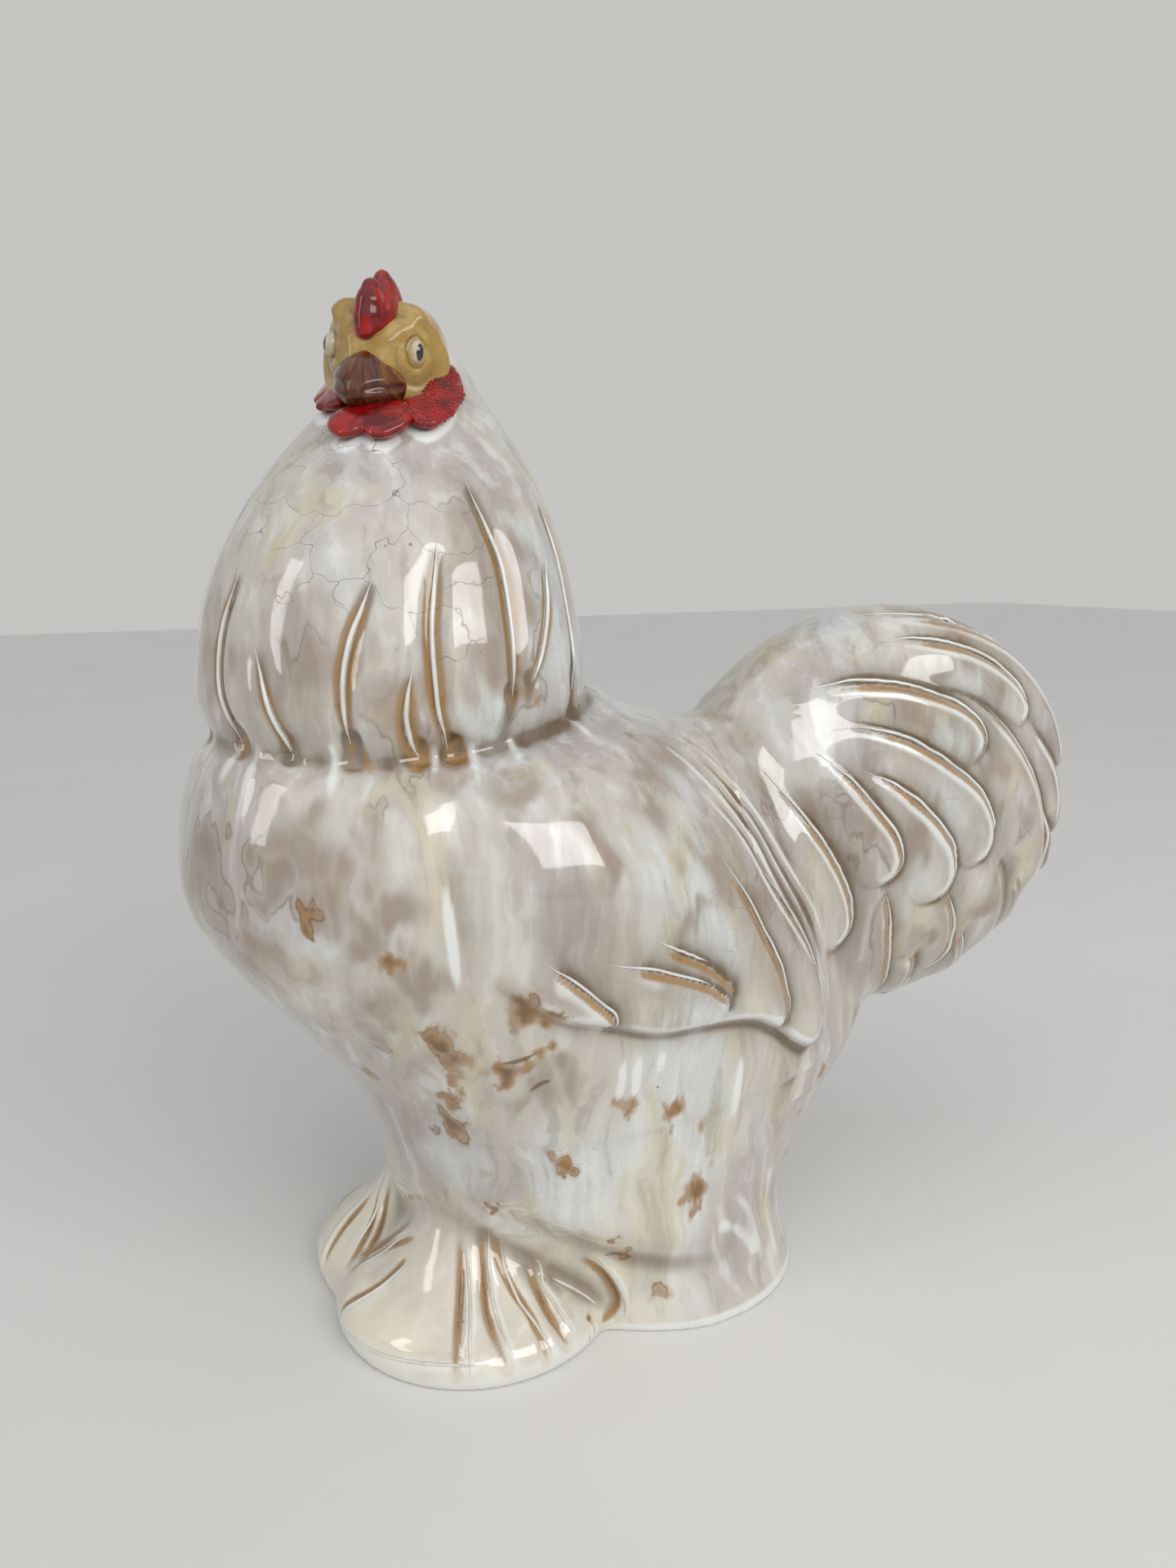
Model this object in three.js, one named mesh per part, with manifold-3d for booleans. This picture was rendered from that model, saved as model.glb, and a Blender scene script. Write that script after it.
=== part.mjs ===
// Glazed ceramic rooster figurine, about 520 mm tall.
// Slip-cast hollow shells (body, neck cape, tail, head) with pressed wings, feet,
// comb, beak, wattles and eyes luted on. Millimetres, +Z up, the bird faces -Y,
// +X is the bird's left. The origin is the centre of the foot face.
import * as THREE from 'three';
import { mergeVertices } from 'three/addons/utils/BufferGeometryUtils.js';
import Module from 'manifold-3d';

// Driving dimensions
const LUTING_GAP = 0.3;        // line of slip between two luted pieces
const BODY_WALL = 8;
const CAPE_WALL = 7;
const TAIL_WALL = 8;
const HEAD_WALL = 6;
const DRAIN_RADIUS = 13;       // hole in the foot face where the slip is poured out
const DRAIN_OFFSET_Y = 45;     // from the origin towards the tail
const NECK_VENT_RADIUS = 55;   // opening between body and neck
const NECK_VENT_DEPTH = 60;    // how far it reaches below the shoulders
const TAIL_VENT_RADIUS = 34;   // opening between body and tail
const TAIL_VENT_DROP = 12;     // below the middle of the tail
const TAIL_VENT_REACH = 65;    // each way from the middle of the tail's front half
const HEAD_VENT_RADIUS = 14;   // opening between neck and head
const HEAD_VENT_DEPTH = 40;    // how far it reaches below the top of the neck
const VENT_SIDES = 28;
const CUT_PAST = 5;            // how far a cut runs past the face that it opens

// Body: level outlines from the foot face to the shoulders.
// y of breast, widest point and rump, half width, and how full the curves are in front and behind.
const BODY_OUTLINES = [
  { z: 0, breast: -72, wide: 45, rump: 134, half: 101, front: 1.5, back: 2.3 },
  { z: 22, breast: -78, wide: 40, rump: 126, half: 96, front: 1.5, back: 2.2 },
  { z: 45, breast: -88, wide: 30, rump: 129, half: 92, front: 1.7, back: 2.1 },
  { z: 70, breast: -96, wide: 15, rump: 151, half: 94, front: 1.9, back: 2 },
  { z: 95, breast: -100, wide: 0, rump: 172, half: 97, front: 2.05, back: 2 },
  { z: 125, breast: -111, wide: -8, rump: 196, half: 99, front: 1.95, back: 1.9 },
  { z: 160, breast: -137, wide: -12, rump: 196, half: 106, front: 1.95, back: 1.65 },
  { z: 195, breast: -166, wide: -15, rump: 188, half: 114, front: 2, back: 1.45 },
  { z: 230, breast: -187.5, wide: -20, rump: 172, half: 118, front: 2.1, back: 1.35 },
  { z: 265, breast: -190, wide: -28, rump: 146, half: 116, front: 2.2, back: 1.25 },
  { z: 290, breast: -184, wide: -38, rump: 118, half: 107, front: 2.2, back: 1.25 },
  { z: 305, breast: -176, wide: -48, rump: 84, half: 93, front: 2.2, back: 1.4 },
  { z: 313, breast: -167, wide: -55, rump: 50, half: 80, front: 2.2, back: 1.6 },
  { z: 320, breast: -155, wide: -62, rump: 32, half: 64, front: 2.2, back: 2 },
  { z: 327, breast: -140, wide: -66, rump: 20, half: 46, front: 2.2, back: 2 },
  { z: 333, breast: -120, wide: -70, rump: 6, half: 22, front: 2.2, back: 2 },
];
const SHOULDER_TOP = BODY_OUTLINES.at(-1).z;
const BODY_SIDES = 40;
const HOLLOW_SIDES = 20;

// Neck cape: a body of revolution about a leaning axis, grooved between its feathers.
const CAPE_PROFILE = [
  { z: 286, x: 0, y: -82, radius: 80 },
  { z: 300, x: 0, y: -82, radius: 84 },
  { z: 312, x: 0, y: -82, radius: 88 },
  { z: 326, x: 0, y: -82, radius: 93 },
  { z: 345, x: 0, y: -82, radius: 93 },
  { z: 370, x: 0, y: -82, radius: 89 },
  { z: 395, x: 0, y: -80, radius: 82 },
  { z: 415, x: -1, y: -77, radius: 73 },
  { z: 435, x: -2, y: -74, radius: 61 },
  { z: 455, x: -5, y: -70, radius: 46 },
  { z: 470, x: -8, y: -67, radius: 34 },
  { z: 481, x: -9, y: -66, radius: 27 },
  { z: 489, x: -10, y: -65, radius: 18 },
  { z: 492, x: -10, y: -65, radius: 8 },
];
const CAPE_CROWN = CAPE_PROFILE.at(-1);
const CAPE_TOP = CAPE_CROWN.z;
const CAPE_SIDES = 60;
const CAPE_GROOVE_DEPTH = 5;
const CAPE_GROOVE_WIDTH = 6;   // degrees round the neck, from the crest to the bottom
const CAPE_GROOVE_TAPER = 45;  // length over which a groove sinks in
// Bearing at the rim (degrees from the breast towards the bird's left), top, sweep, strength
const CAPE_GROOVES = [
  { at: 2, top: 420, sweep: -4, strength: 0.8 },
  { at: 17, top: 388, sweep: 14, strength: 1 },
  { at: 36, top: 336, sweep: 4, strength: 0.7 },
  { at: 58, top: 358, sweep: 6, strength: 1 },
  { at: 83, top: 388, sweep: 4, strength: 1.2 },
  { at: 106, top: 420, sweep: -2, strength: 1.5 },
  { at: 126, top: 405, sweep: -6, strength: 1 },
  { at: 146, top: 410, sweep: -4, strength: 1 },
  { at: 166, top: 396, sweep: 0, strength: 0.9 },
];

// Tail: an upright disc of sickle feathers
const TAIL = { y: 211, z: 242, length: 143, height: 125, half: 66 };
// Feathers of one side, placed on the disc's face by radius (share of the disc)
// and bearing (degrees from the rear, upwards), from root to tip.
const SICKLE_FEATHERS = [
  { width: 30, proud: 7, path: [[0.8, 160], [0.72, 165], [0.62, 180], [0.6, 200], [0.63, 222], [0.72, 232]] },
  { width: 31, proud: 7, path: [[0.65, 150], [0.5, 156], [0.38, 170], [0.32, 195], [0.36, 218]] },
  { width: 31, proud: 10, path: [[0.43, 142], [0.25, 156], [0.12, 200], [0.2, 265], [0.39, 270]] },
  { width: 31, proud: 8, path: [[0.6, 138], [0.48, 130], [0.3, 117], [0.15, 75], [0.18, -20], [0.34, -45]] },
  { width: 27, proud: 7.5, path: [[0.78, 132], [0.68, 123], [0.56, 109], [0.44, 88], [0.36, 58]] },
  { width: 25, proud: 7, path: [[0.83, 109], [0.77, 98], [0.71, 84], [0.68, 67], [0.68, 50], [0.68, 36]] },
  { width: 22, proud: 6, path: [[0.94, 100], [0.91, 89], [0.85, 76], [0.8, 61], [0.76, 33], [0.8, 6]] },
  { width: 30, proud: 5, path: [[0.5, 203], [0.46, 219], [0.55, 241], [0.68, 256], [0.9, 262]] },
  { width: 32, proud: 5, path: [[0.36, 226], [0.4, 262], [0.55, 270], [0.77, 272], [0.88, 275]] },
  { width: 30, proud: 5, path: [[0.2, 291], [0.41, 306], [0.62, 304], [0.86, 300]] },
  { width: 28, proud: 5, path: [[0.35, 62], [0.36, 20], [0.48, -12], [0.64, -28], [0.78, -39]] },
  { width: 24, proud: 4.5, path: [[0.58, 46], [0.6, 26], [0.66, 5], [0.74, -10]] },
];

// A feather of the tail or wing: where it is fullest along its length, how fast it thins from there,
// the least it thins to, its rise at the root as a share of the tip's, and how deep it is bedded
const FEATHER = {
  stations: 6, sides: 6, fullest: 0.575, thinning: 1.55, least: 0.02, rootRise: 0.55, bedded: 1.2,
};

// Wing: a smooth leaf on the body's side, and the feather tips along its lower edge
const WING_PROUD = 12;
const WING_BEDDED = 12;        // how deep the leaf reaches into the body before it is cut to fit
const WING_CROWN = 0.7;        // below 1 the leaf is fuller near its edges
const WING_SIDES = 16;
const WING_OUTLINES = [
  { y: -92, low: 226, high: 272, share: 0.15 },
  { y: -84, low: 208, high: 290, share: 0.6 },
  { y: -62, low: 190, high: 303, share: 0.95 },
  { y: -30, low: 178, high: 308, share: 1 },
  { y: 5, low: 175, high: 302, share: 1 },
  { y: 38, low: 172, high: 284, share: 0.95 },
  { y: 64, low: 166, high: 252, share: 0.8 },
  { y: 84, low: 162, high: 220, share: 0.6 },
  { y: 96, low: 168, high: 196, share: 0.25 },
];
// Tip feathers as [y, z] points from root to tip, with how far each stands proud
const WING_FEATHERS = [
  { width: 15, proud: 14, path: [[-32, 206], [-24, 194], [-16, 184], [-9, 174]] },
  { width: 15, proud: 15, path: [[-14, 200], [-5, 192], [5, 182], [12, 174]] },
  { width: 17, proud: 17, path: [[-2, 200], [12, 188], [26, 180], [40, 175]] },
  { width: 15, proud: 15, path: [[12, 212], [24, 199], [36, 188], [47, 180]] },
  { width: 29, proud: 17, path: [[44, 240], [54, 222], [61, 203], [66, 189], [70, 176]] },
  { width: 24, proud: 13, path: [[66, 249], [79, 229], [90, 208], [97, 186], [102, 158]] },
];

// Foot: a fan of toes spread from the leg, as a share of the reach at each height
const FOOT = { x: 24, y: -57, turn: 48, reach: 75, spread: 200, heel: 0.5, sides: 48 };
const FAN_EASE = { inside: 10, outside: 30 };   // degrees over which the fan's two edges round off
const FOOT_PROFILE = [
  { share: 0.98, z: 0 },
  { share: 1, z: 7 },
  { share: 0.95, z: 15 },
  { share: 0.85, z: 22 },
  { share: 0.68, z: 32 },
  { share: 0.5, z: 48 },
  { share: 0.34, z: 68 },
  { share: 0.15, z: 76 },
];
const TOE_COUNT = 6;
const TOE_DEPTH = 4;           // how deep the grooves between the toes are
const TOE_BULGE = 4;           // how far each toe stands out at the rim
const TOE_ROUND = 0.6;         // below 1 the toes are broad and the grooves narrow

// Head, in its own frame: the face looks along -Y before the turn. Its middle lies to the left of,
// ahead of and below the middle of the cape's top.
const HEAD = { left: 19, ahead: 16.3, below: 9.5, turn: 55, tilt: 7, half: 28, depth: 29, height: 23 };
const CROWN = { half: 23, depth: 21, y: 1, z: 12, height: 12, square: 0.55 };
const CHEEK = { x: 13, y: -10, z: -3, radius: 21, flat: 12, turn: 46 };
const BEAK = { root: -12, tip: -41, half: 15.5, high: 13, z: -12, drop: 5, blunt: 0.94, curve: 2.6 };
const COMB_HALF = 7;
const COMB_LOBES = [
  { y: -25, z: 16, depth: 8, height: 14.5 },
  { y: -12, z: 20.5, depth: 12, height: 15.5 },
];
const EYE = { across: 3.8, tall: 5.6, deep: 4, sunk: 0.75, turn: 47, z: 2 };
// Wattles lie on the neck below the face and lean with its slope: bearings round the neck (degrees from
// the breast towards the bird's left), how far their middle drops below the cape's top at both ends,
// thickness and half height
const WATTLE_LEAN = 0.7;
const WATTLE_SIDES = 12;
const CHIN_WATTLE = { from: 31, to: 77, drop: 43, endDrop: 43, thick: 7.5, height: 9, waist: 0.2 };
const LEFT_WATTLE = { from: 78, to: 118, drop: 41, endDrop: 24, thick: 6.5, height: 10, waist: 0 };
const RIGHT_WATTLE = { from: 29, to: -16, drop: 34, endDrop: 22, thick: 6.5, height: 9, waist: 0 };

// Colours of the fired glazes
const PEARL_GLAZE = 0xc9c7c5;
const CREAM_GLAZE = 0xd5ccb6;
const FACE_GLAZE = 0xb69e68;
const RED_GLAZE = 0xaa0e0e;
const BEAK_GLAZE = 0x8a4c18;
const EYE_GLAZE = 0xe4dccb;
const GLAZE_ROUGHNESS = 0.12;

const wasm = await Module();
wasm.setup();

const rad = THREE.MathUtils.degToRad;
const clamp = THREE.MathUtils.clamp;
const smooth = THREE.MathUtils.smoothstep;

// Solids from closed meshes, and back
function toSolid(geometry) {
  const bare = geometry.clone();
  bare.deleteAttribute('normal');
  bare.deleteAttribute('uv');
  const merged = mergeVertices(bare, 1e-4);
  return new wasm.Manifold(new wasm.Mesh({
    numProp: 3,
    vertProperties: new Float32Array(merged.attributes.position.array),
    triVerts: new Uint32Array(merged.index.array),
  }));
}

function toGeometry(solid) {
  const mesh = solid.getMesh();
  const geometry = new THREE.BufferGeometry();
  geometry.setAttribute('position', new THREE.BufferAttribute(mesh.vertProperties, 3));
  geometry.setIndex(new THREE.BufferAttribute(mesh.triVerts, 1));
  geometry.computeVertexNormals();
  return geometry;
}

// A closed loft through rings of points; every ring has as many points as the first
function loft(rings) {
  const count = rings[0].length;
  const points = rings.flat();
  const triangles = [];
  for (let r = 0; r + 1 < rings.length; r++) {
    for (let i = 0; i < count; i++) {
      const a = r * count + i;
      const b = r * count + (i + 1) % count;
      triangles.push(a, b, b + count, a, b + count, a + count);
    }
  }
  for (const [ring, first] of [[rings[0], 0], [rings.at(-1), (rings.length - 1) * count]]) {
    const centre = ring.reduce((sum, p) => sum.add(p), new THREE.Vector3()).divideScalar(count);
    const hub = points.push(centre) - 1;
    for (let i = 0; i < count; i++) {
      const a = first + i;
      const b = first + (i + 1) % count;
      triangles.push(...(first === 0 ? [hub, b, a] : [hub, a, b]));
    }
  }
  const geometry = new THREE.BufferGeometry().setFromPoints(points);
  geometry.setIndex(triangles);
  return outward(geometry);
}

// Turns a closed mesh inside out if its faces point inwards
function outward(geometry) {
  const p = geometry.attributes.position;
  const index = Array.from(geometry.index.array);
  const corner = [0, 1, 2].map(() => new THREE.Vector3());
  let volume = 0;
  for (let t = 0; t < index.length; t += 3) {
    corner.forEach((v, k) => v.fromBufferAttribute(p, index[t + k]));
    volume += corner[0].dot(corner[1].clone().cross(corner[2]));
  }
  if (volume < 0) {
    for (let t = 0; t < index.length; t += 3) {
      [index[t + 1], index[t + 2]] = [index[t + 2], index[t + 1]];
    }
    geometry.setIndex(index);
  }
  return geometry;
}

// A value read from a list of outlines at any height, through a smooth curve
function readAt(list, along, place, key) {
  const last = list.length - 1;
  let k = list.findIndex((item) => item[along] > place) - 1;
  if (k < 0) k = place < list[0][along] ? 0 : last - 1;
  const [a, b] = [list[k], list[k + 1]];
  const [before, after] = [list[Math.max(k - 1, 0)], list[Math.min(k + 2, last)]];
  const span = b[along] - a[along];
  const t = clamp((place - a[along]) / span, 0, 1);
  const slopeA = (b[key] - before[key]) / (b[along] - before[along]) * span;
  const slopeB = (after[key] - a[key]) / (after[along] - a[along]) * span;
  const t2 = t * t;
  const t3 = t2 * t;
  return (2 * t3 - 3 * t2 + 1) * a[key] + (t3 - 2 * t2 + t) * slopeA
    + (3 * t2 - 2 * t3) * b[key] + (t3 - t2) * slopeB;
}

// Places between the given ones, so that a loft follows the smooth curve
function refine(list, along, steps) {
  const places = [];
  for (let k = 0; k + 1 < list.length; k++) {
    for (let s = 0; s < steps; s++) {
      places.push(THREE.MathUtils.lerp(list[k][along], list[k + 1][along], s / steps));
    }
  }
  places.push(list.at(-1)[along]);
  return places;
}

// Body
function bodyOutline(z) {
  const keys = ['breast', 'wide', 'rump', 'half', 'front', 'back'];
  return Object.fromEntries(keys.map((key) => [key, readAt(BODY_OUTLINES, 'z', z, key)]));
}

function bodyRing(z, grow, count) {
  const o = bodyOutline(z);
  return Array.from({ length: count }, (_, i) => {
    const a = 2 * Math.PI * i / count;
    const [c, s] = [Math.cos(a), Math.sin(a)];
    const power = 2 / (c > 0 ? o.front : o.back);
    const reach = (c > 0 ? o.wide - o.breast : o.rump - o.wide) + grow;
    const x = (o.half + grow) * Math.sign(s) * Math.abs(s) ** power;
    const y = o.wide - reach * Math.sign(c) * Math.abs(c) ** power;
    return new THREE.Vector3(x, y, z);
  });
}

function bodyLoft(grow, count, floor, top) {
  const levels = refine(BODY_OUTLINES, 'z', 1).filter((z) => z > floor && z < top);
  const rings = [floor, ...levels, top].map((z) => bodyRing(z, grow, count));
  return loft(rings);
}

// Distance of the body's side from the middle plane
function bodySide(y, z) {
  const o = bodyOutline(z);
  const power = y < o.wide ? o.front : o.back;
  const reach = y < o.wide ? o.wide - o.breast : o.rump - o.wide;
  const share = clamp(Math.abs(y - o.wide) / reach, 0, 1);
  return o.half * (1 - share ** power) ** (1 / power);
}

// Raises the upper part of a grown shape, so that it also clears what stands on it
function liftTop(geometry, lift) {
  const p = geometry.attributes.position;
  for (let i = 0; i < p.count; i++) {
    if (p.getZ(i) > SHOULDER_TOP / 2) p.setZ(i, p.getZ(i) + lift);
  }
  return geometry;
}

// The body grown all round, which seats what is luted to it
function grownBody(grow, sides) {
  return toSolid(liftTop(bodyLoft(grow, sides, -CUT_PAST, SHOULDER_TOP), grow));
}

const bodySolid = toSolid(bodyLoft(0, BODY_SIDES, 0, SHOULDER_TOP));
const bodySeat = grownBody(LUTING_GAP, BODY_SIDES);

// A round cutter, upright or lying along the middle plane
function upright(radius, low, high, y, x = 0) {
  return toSolid(new THREE.CylinderGeometry(radius, radius, high - low, VENT_SIDES)
    .rotateX(Math.PI / 2).translate(x, y, (low + high) / 2));
}

const tailVent = toSolid(
  new THREE.CylinderGeometry(TAIL_VENT_RADIUS, TAIL_VENT_RADIUS, 2 * TAIL_VENT_REACH, VENT_SIDES)
    .translate(0, TAIL.y - TAIL.length / 2, TAIL.z - TAIL_VENT_DROP),
);

function bodyShell() {
  const hollow = toSolid(bodyLoft(-BODY_WALL, HOLLOW_SIDES, BODY_WALL, SHOULDER_TOP - BODY_WALL));
  const neckVent = upright(NECK_VENT_RADIUS, SHOULDER_TOP - NECK_VENT_DEPTH, SHOULDER_TOP + CUT_PAST,
    CAPE_PROFILE[0].y);
  const drain = upright(DRAIN_RADIUS, -CUT_PAST, BODY_WALL + CUT_PAST, DRAIN_OFFSET_Y);
  return bodySolid.subtract(hollow).subtract(neckVent).subtract(drain).subtract(tailVent);
}

// Neck cape
function grooveAt(bearing, z) {
  let depth = 0;
  for (const groove of CAPE_GROOVES) {
    for (const side of [1, -1]) {
      const rise = (z - CAPE_PROFILE[1].z) / (groove.top - CAPE_PROFILE[1].z);
      const centre = side * (groove.at + groove.sweep * clamp(rise, 0, 1) ** 2);
      const away = Math.abs(THREE.MathUtils.euclideanModulo(bearing - centre + 180, 360) - 180);
      const sunk = smooth(groove.top - z, 0, CAPE_GROOVE_TAPER);
      depth = Math.max(depth, groove.strength * sunk * Math.max(0, 1 - away / CAPE_GROOVE_WIDTH));
    }
  }
  return depth * CAPE_GROOVE_DEPTH;
}

function capeRing(z, grow, count, grooved) {
  const radius = readAt(CAPE_PROFILE, 'z', z, 'radius') + grow;
  const x = readAt(CAPE_PROFILE, 'z', z, 'x');
  const y = readAt(CAPE_PROFILE, 'z', z, 'y');
  return Array.from({ length: count }, (_, i) => {
    const a = 2 * Math.PI * i / count;
    const r = radius - (grooved ? grooveAt(THREE.MathUtils.radToDeg(a), z) : 0);
    return new THREE.Vector3(x + r * Math.sin(a), y - r * Math.cos(a), z);
  });
}

function capeLoft(grow, count, grooved) {
  return loft(refine(CAPE_PROFILE, 'z', 1).map((z) => capeRing(z, grow, count, grooved)));
}

function grownCape(grow, sides) {
  return toSolid(capeLoft(grow, sides, false).translate(0, 0, grow));
}

const capeOuter = toSolid(capeLoft(0, CAPE_SIDES, true));
const capeSeat = grownCape(LUTING_GAP, CAPE_SIDES);

function capeShell() {
  const levels = refine(CAPE_PROFILE, 'z', 1).filter((z) => z < CAPE_TOP - 2 * CAPE_WALL);
  const rings = levels.map((z) => capeRing(z, -CAPE_WALL - CAPE_GROOVE_DEPTH, HOLLOW_SIDES, false));
  rings.unshift(rings[0].map((p) => p.clone().setZ(CAPE_PROFILE[0].z - CUT_PAST)));
  const vent = upright(HEAD_VENT_RADIUS, CAPE_TOP - HEAD_VENT_DEPTH, CAPE_TOP + CUT_PAST,
    CAPE_CROWN.y, CAPE_CROWN.x);
  return capeOuter.subtract(toSolid(loft(rings))).subtract(vent).subtract(bodySeat);
}

// Tail
function ellipsoid(x, y, z, rx, ry, rz, across = 16, up = 10) {
  return new THREE.SphereGeometry(1, across, up).rotateX(Math.PI / 2).scale(rx, ry, rz).translate(x, y, z);
}

// A feather: a rounded, tapering bar along a path on a surface.
// point and normal give the surface; width is across it, and proud is its height above it.
function featherBar({ path, width, proud }, surface) {
  const curve = new THREE.CatmullRomCurve3(path.map((p) => surface(...p).point));
  const flat = new THREE.CatmullRomCurve3(path.map((p) => surface(...p).normal));
  const rings = [];
  for (let s = 0; s < FEATHER.stations; s++) {
    const t = s / (FEATHER.stations - 1);
    const away = 2 * Math.abs(t - FEATHER.fullest);
    const taper = Math.sqrt(Math.max(FEATHER.least, 1 - away ** 3 / FEATHER.thinning));
    const centre = curve.getPoint(t);
    const ahead = curve.getTangent(t);
    const out = flat.getPoint(t).normalize();
    const side = new THREE.Vector3().crossVectors(ahead, out).normalize();
    const half = width / 2 * taper;
    const high = proud * THREE.MathUtils.lerp(FEATHER.rootRise, 1, t) * taper;
    const ring = [];
    for (let i = 0; i < FEATHER.sides; i++) {
      const a = 2 * Math.PI * i / FEATHER.sides;
      const lift = Math.sin(a) > 0 ? high * Math.sin(a) : proud * FEATHER.bedded * Math.sin(a);
      ring.push(centre.clone().addScaledVector(side, half * Math.cos(a)).addScaledVector(out, lift));
    }
    rings.push(ring);
  }
  return loft(rings);
}

function tailFace(side) {
  return (radius, bearing) => {
    const y = radius * Math.cos(rad(bearing));
    const z = radius * Math.sin(rad(bearing));
    const x = Math.sqrt(Math.max(0, 1 - radius * radius));
    const normal = new THREE.Vector3(side * x / TAIL.half, y / TAIL.length, z / TAIL.height).normalize();
    const point = new THREE.Vector3(side * x * TAIL.half, TAIL.y + y * TAIL.length, TAIL.z + z * TAIL.height);
    return { point, normal };
  };
}

function tailShell() {
  let solid = toSolid(ellipsoid(0, TAIL.y, TAIL.z, TAIL.half, TAIL.length, TAIL.height, 24, 14));
  for (const side of [1, -1]) {
    for (const f of SICKLE_FEATHERS) {
      solid = solid.add(toSolid(featherBar(f, tailFace(side))));
    }
  }
  // The hollow keeps a wall to the body and cape too, and the vent opens it to the body
  const hollow = toSolid(ellipsoid(0, TAIL.y, TAIL.z, TAIL.half - 2 * TAIL_WALL, TAIL.length - TAIL_WALL,
    TAIL.height - TAIL_WALL))
    .subtract(grownBody(TAIL_WALL, HOLLOW_SIDES))
    .subtract(grownCape(TAIL_WALL, HOLLOW_SIDES));
  return solid.subtract(bodySeat).subtract(capeSeat).subtract(hollow).subtract(tailVent);
}

// Wings
function wing(side) {
  const rings = WING_OUTLINES.map((o) => {
    const middle = (o.low + o.high) / 2;
    const half = (o.high - o.low) / 2;
    return Array.from({ length: WING_SIDES }, (_, i) => {
      const a = 2 * Math.PI * i / WING_SIDES;
      const z = middle + half * Math.sin(a);
      const outside = Math.max(0, Math.cos(a)) ** WING_CROWN * WING_PROUD * o.share;
      const proud = outside + Math.min(0, Math.cos(a)) * WING_BEDDED;
      return new THREE.Vector3(side * (bodySide(o.y, z) + proud), o.y, z);
    });
  });
  let solid = toSolid(loft(rings));
  const surface = (y, z) => {
    const x = bodySide(y, z);
    const slopeY = (bodySide(y + 1, z) - bodySide(y - 1, z)) / 2;
    const slopeZ = (bodySide(y, z + 1) - bodySide(y, z - 1)) / 2;
    const normal = new THREE.Vector3(side, -slopeY, -slopeZ).normalize();
    return { point: new THREE.Vector3(side * x, y, z), normal };
  };
  for (const f of WING_FEATHERS) {
    solid = solid.add(toSolid(featherBar(f, surface)));
  }
  return solid.subtract(bodySeat).subtract(capeSeat);
}

// Feet: each ends at the middle plane, where the other begins
function foot(side) {
  const rings = FOOT_PROFILE.map(({ share, z }) => Array.from({ length: FOOT.sides }, (_, i) => {
    const bearing = 360 * i / FOOT.sides - 180;
    const edge = FOOT.spread / 2;
    const fan = 1 - smooth(Math.abs(bearing), edge - FAN_EASE.inside, edge + FAN_EASE.outside);
    const between = 1 - Math.abs(Math.cos(Math.PI * TOE_COUNT * bearing / FOOT.spread)) ** TOE_ROUND;
    const reach = (FOOT.reach * THREE.MathUtils.lerp(FOOT.heel, 1, fan) - between * TOE_BULGE * fan) * share;
    const sunk = z > 0 ? between * TOE_DEPTH * fan * smooth(z, 0, FOOT_PROFILE[2].z) : 0;
    const a = rad(bearing + FOOT.turn);
    return new THREE.Vector3(side * (FOOT.x + reach * Math.sin(a)), FOOT.y - reach * Math.cos(a), z - sunk);
  }));
  const size = 4 * FOOT.reach;
  const otherHalf = new THREE.BoxGeometry(size, size, size)
    .translate(side * (LUTING_GAP / 2 - size / 2), FOOT.y, 0);
  return toSolid(loft(rings)).subtract(toSolid(otherHalf)).subtract(bodySeat);
}

// Head pieces in the head's own frame
const headTurn = new THREE.Euler(0, rad(HEAD.tilt), rad(HEAD.turn), 'ZYX');
const headMiddle = new THREE.Vector3(CAPE_CROWN.x + HEAD.left, CAPE_CROWN.y - HEAD.ahead,
  CAPE_TOP - HEAD.below);
const headPlace = new THREE.Matrix4().makeRotationFromEuler(headTurn).setPosition(headMiddle);
const headInverse = headPlace.clone().invert();

// A flattened crown with rounded corners, as a stack of rounded squares
function crown(grow) {
  const rings = [-1, -0.6, 0, 0.6, 0.87, 0.97].map((t) => {
    const full = (1 - Math.abs(t) ** (2 / CROWN.square)) ** (CROWN.square / 2);
    const share = Math.max(full, CROWN.square);
    const squared = (value) => Math.sign(value) * Math.abs(value) ** CROWN.square;
    return ovalRing(16, (c, s) => new THREE.Vector3(
      (CROWN.half * share + grow) * squared(c),
      CROWN.y + (CROWN.depth * share + grow) * squared(s),
      CROWN.z + (CROWN.height + grow) * t,
    ));
  });
  return toSolid(loft(rings));
}

function skull(grow) {
  let solid = toSolid(ellipsoid(0, 0, 0, HEAD.half + grow, HEAD.depth + grow, HEAD.height + grow));
  solid = solid.add(crown(grow));
  for (const side of [1, -1]) {
    const cheek = new THREE.SphereGeometry(1, 16, 10)
      .scale(CHEEK.radius + grow, CHEEK.flat + grow, CHEEK.radius + grow)
      .rotateZ(side * rad(CHEEK.turn)).translate(side * CHEEK.x, CHEEK.y, CHEEK.z);
    solid = solid.add(toSolid(cheek));
  }
  return solid;
}

const neckInHeadFrame = capeSeat.transform(headInverse.elements);
const skullSolid = skull(0);
const skullSeat = skull(LUTING_GAP);

function headShell() {
  const hollow = toSolid(ellipsoid(0, 0, 0, HEAD.half - HEAD_WALL, HEAD.depth - HEAD_WALL,
    HEAD.height - HEAD_WALL));
  return skullSolid.subtract(hollow).subtract(neckInHeadFrame);
}

function comb() {
  const lobes = COMB_LOBES.map((o) => toSolid(ellipsoid(0, o.y, o.z, COMB_HALF, o.depth, o.height)));
  return lobes[0].add(lobes[1]).subtract(skullSeat).subtract(neckInHeadFrame);
}

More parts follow.
